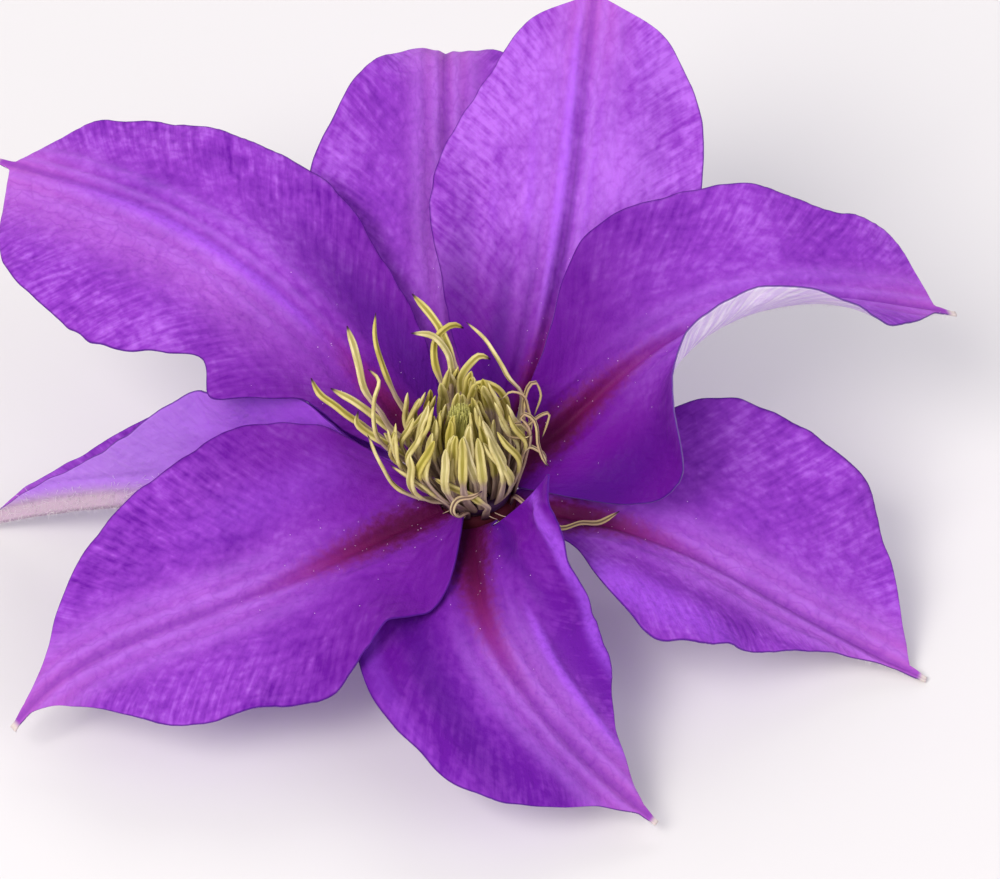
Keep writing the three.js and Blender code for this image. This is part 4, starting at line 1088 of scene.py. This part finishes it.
def growth_tree(name, hair):
    """Geometry Nodes that strew hairs or grains over a surface, thicker where its growth value is high."""
    tree = bpy.data.node_groups.new(name, "GeometryNodeTree")
    face = tree.interface
    for key, kind in (("Geometry", "Geometry"), ("Per square metre", "Float"), ("Length", "Float"),
                      ("Radius", "Float"), ("Bend", "Float"), ("Seed", "Int"), ("Material", "Material")):
        face.new_socket(key, in_out="INPUT", socket_type="NodeSocket" + kind)
    face.new_socket("Geometry", in_out="OUTPUT", socket_type="NodeSocketGeometry")
    given = add(tree, "NodeGroupInput").outputs
    growth = add(tree, "GeometryNodeInputNamedAttribute", {"Name": "growth"}, data_type="FLOAT").outputs[0]
    density = add(tree, "ShaderNodeMath", {0: growth, 1: given["Per square metre"]},
                  operation="MULTIPLY").outputs[0]
    spots = add(tree, "GeometryNodeDistributePointsOnFaces",
                {"Mesh": given["Geometry"], "Density": density, "Seed": given["Seed"]},
                distribute_method="RANDOM").outputs
    if hair:
        shape = add(tree, "GeometryNodeMeshCone", {"Vertices": 3, "Side Segments": 1, "Radius Top": 0.0,
                                                   "Radius Bottom": given["Radius"],
                                                   "Depth": given["Length"]}).outputs["Mesh"]
    else:
        shape = add(tree, "GeometryNodeMeshIcoSphere", {"Radius": given["Radius"],
                                                        "Subdivisions": 1}).outputs["Mesh"]
    down = add(tree, "ShaderNodeMath", {0: given["Bend"], 1: -1.0}, operation="MULTIPLY").outputs[0]
    low_turn = add(tree, "ShaderNodeCombineXYZ", {0: down, 1: down, 2: -3.0}).outputs[0]
    high_turn = add(tree, "ShaderNodeCombineXYZ", {0: given["Bend"], 1: given["Bend"], 2: 3.0}).outputs[0]
    turns = add(tree, "FunctionNodeRandomValue", {0: low_turn, 1: high_turn, "Seed": given["Seed"]},
                data_type="FLOAT_VECTOR").outputs[0]
    turned = add(tree, "FunctionNodeRotateRotation", {"Rotation": spots["Rotation"], "Rotate By": turns},
                 rotation_space="LOCAL").outputs[0]
    sizes = add(tree, "FunctionNodeRandomValue", {2: 0.55, 3: 1.25, "Seed": given["Seed"]},
                data_type="FLOAT").outputs[1]
    placed = add(tree, "GeometryNodeInstanceOnPoints", {"Points": spots["Points"], "Instance": shape,
                                                        "Rotation": turned, "Scale": sizes}).outputs[0]
    real = add(tree, "GeometryNodeRealizeInstances", {0: placed}).outputs[0]
    done = add(tree, "GeometryNodeSetMaterial", {"Geometry": real, "Material": given["Material"]}).outputs[0]
    add(tree, "NodeGroupOutput", {"Geometry": done})
    return tree


def grow(name, base, growth, tree, sizes, seed, material):
    """Runs a growth tree over a copy of a piece's mesh and keeps the result as a plain mesh."""
    values = {"Per square metre": sizes["per_square_metre"], "Length": sizes["length"] * MM,
              "Radius": sizes["radius"] * MM, "Bend": sizes["bend"], "Seed": seed, "Material": material}
    source = base.data.copy()
    layer = source.attributes.new("growth", "FLOAT", "POINT")
    layer.data.foreach_set("value", np.asarray(growth, np.float32))
    carrier = bpy.data.objects.new(name + "_carrier", source)
    bpy.context.scene.collection.objects.link(carrier)
    modifier = carrier.modifiers.new("growth", "NODES")
    modifier.node_group = tree
    for item in tree.interface.items_tree:
        if item.item_type == "SOCKET" and item.in_out == "INPUT" and item.name in values:
            modifier[item.identifier] = values[item.name]
    evaluated = carrier.evaluated_get(bpy.context.evaluated_depsgraph_get())
    mesh = bpy.data.meshes.new_from_object(evaluated)
    mesh.name = name
    bpy.data.objects.remove(carrier)
    return keep_object(name, mesh, material)


def values_of(piece, key):
    """A mesh attribute at each point: one number, or three for a vector."""
    layer = piece.data.attributes[key]
    if layer.data_type == "FLOAT":
        values = np.zeros(len(layer.data), np.float32)
        layer.data.foreach_get("value", values)
        return values
    values = np.zeros(len(layer.data) * 3, np.float32)
    layer.data.foreach_get("vector", values)
    return values.reshape(-1, 3)


def clear_of_floor(piece, height):
    """True where a point is higher above the floor than so many mm."""
    return values_of(piece, "position")[:, 2] > height * MM


petal = petal_tissue()
down = plant_down()
pollen = pollen_grain()
hairs_tree = growth_tree("fine_hairs", hair=True)
grains_tree = growth_tree("pollen_grains", hair=False)

for number, (node, q) in enumerate(SEPALS.items()):
    mesh = blade_mesh(node + "_blade", q, RELIEF_SEED + RELIEF_SEED_STEP * number)
    piece = keep_object(node + "_blade", mesh, petal, [node])
    share = values_of(piece, "share")
    upper = values_of(piece, "upper")
    out = values_of(piece, "blade")[:, 1]
    # pollen thins out from a fifth to half of the length
    near = np.clip((0.5 - share) / 0.3, 0, 1) * (share > 0.03) * bell(out, POLLEN_REACH)
    dusted = near * (upper > 0.5)
    grow(node + "_pollen", piece, dusted, grains_tree, POLLEN, POLLEN_SEED + number, pollen)
    keel = (upper < 0.5) * bell(out, KEEL_REACH) * clear_of_floor(piece, SEPAL_DOWN_FLOOR)
    grow(node + "_down", piece, keel, hairs_tree, SEPAL_DOWN, SEPAL_DOWN_SEED + number, down)

anthers = anther_tissue()
keep_object("stamens_detailed", stamens_mesh(), anthers, ["stamens"])
keep_object("stamen_stubs", stubs_mesh(), anthers)
style = style_tissue()
tuft = keep_object("styles_detailed", styles_mesh(), style, ["styles"])
ends = np.clip(values_of(tuft, "tip") * 4 - 2.4, 0, 1)
grow("styles_down", tuft, ends, hairs_tree, STYLE_DOWN, STYLE_DOWN_SEED, style)
stalk = keep_object("receptacle_detailed", receptacle_mesh(), stalk_skin(), ["receptacle"])
below_cup = clear_of_floor(stalk, STALK_DOWN_FLOOR) * (values_of(stalk, "height") < STALK_DOWN_TOP)
grow("stalk_down", stalk, below_cup, hairs_tree, STALK_DOWN, STALK_DOWN_SEED, down)

# Floor
floor_mesh = bpy.data.meshes.new("floor")
corners = [(x * FLOOR_REACH, y * FLOOR_REACH, 0) for x, y in ((-1, -1), (1, -1), (1, 1), (-1, 1))]
floor_mesh.from_pydata(corners, [], [(0, 1, 2, 3)])
floor_mesh.materials.append(pale_floor())
floor = bpy.data.objects.new("floor", floor_mesh)
bpy.context.scene.collection.objects.link(floor)

# Lights, which face the flower
for name, (place, size, power, colour) in LIGHTS.items():
    data = bpy.data.lights.new(name, "AREA")
    data.size = size
    data.energy = power
    data.color = linear(colour)[:3]
    lamp = bpy.data.objects.new(name, data)
    lamp.location = Vector(place)
    lamp.rotation_euler = (Vector(CENTRE) * MM - Vector(place)).to_track_quat("-Z", "Y").to_euler()
    bpy.context.scene.collection.objects.link(lamp)

world = bpy.data.worlds.new("studio")
world.use_nodes = True
world.node_tree.nodes["Background"].inputs[0].default_value = linear(ROOM_COLOUR)
world.node_tree.nodes["Background"].inputs[1].default_value = ROOM_STRENGTH
bpy.context.scene.world = world
bpy.context.scene.view_settings.view_transform = "Standard"

# Camera
tilt = math.radians(CAMERA_ELEVATION)
focal_pixels = PIXELS_PER_MM * CAMERA_DISTANCE
right = np.array([1.0, 0.0, 0.0])
forward = np.array([0.0, math.cos(tilt), -math.sin(tilt)])
upward = np.cross(right, forward)
offset = (right * (FLOWER_X_PIXEL - IMAGE_WIDTH / 2) / focal_pixels * CAMERA_DISTANCE
          + upward * (IMAGE_HEIGHT / 2 - FLOWER_Y_PIXEL) / focal_pixels * CAMERA_DISTANCE
          + forward * CAMERA_DISTANCE)
camera_data = bpy.data.cameras.new("camera")
camera_data.sensor_width = SENSOR_WIDTH
camera_data.sensor_fit = "HORIZONTAL"
camera_data.lens = focal_pixels * SENSOR_WIDTH / IMAGE_WIDTH
camera = bpy.data.objects.new("camera", camera_data)
camera.location = Vector((CENTRE - offset) * MM)
camera.rotation_euler = (math.pi / 2 - tilt, 0, 0)
bpy.context.scene.collection.objects.link(camera)
bpy.context.scene.camera = camera
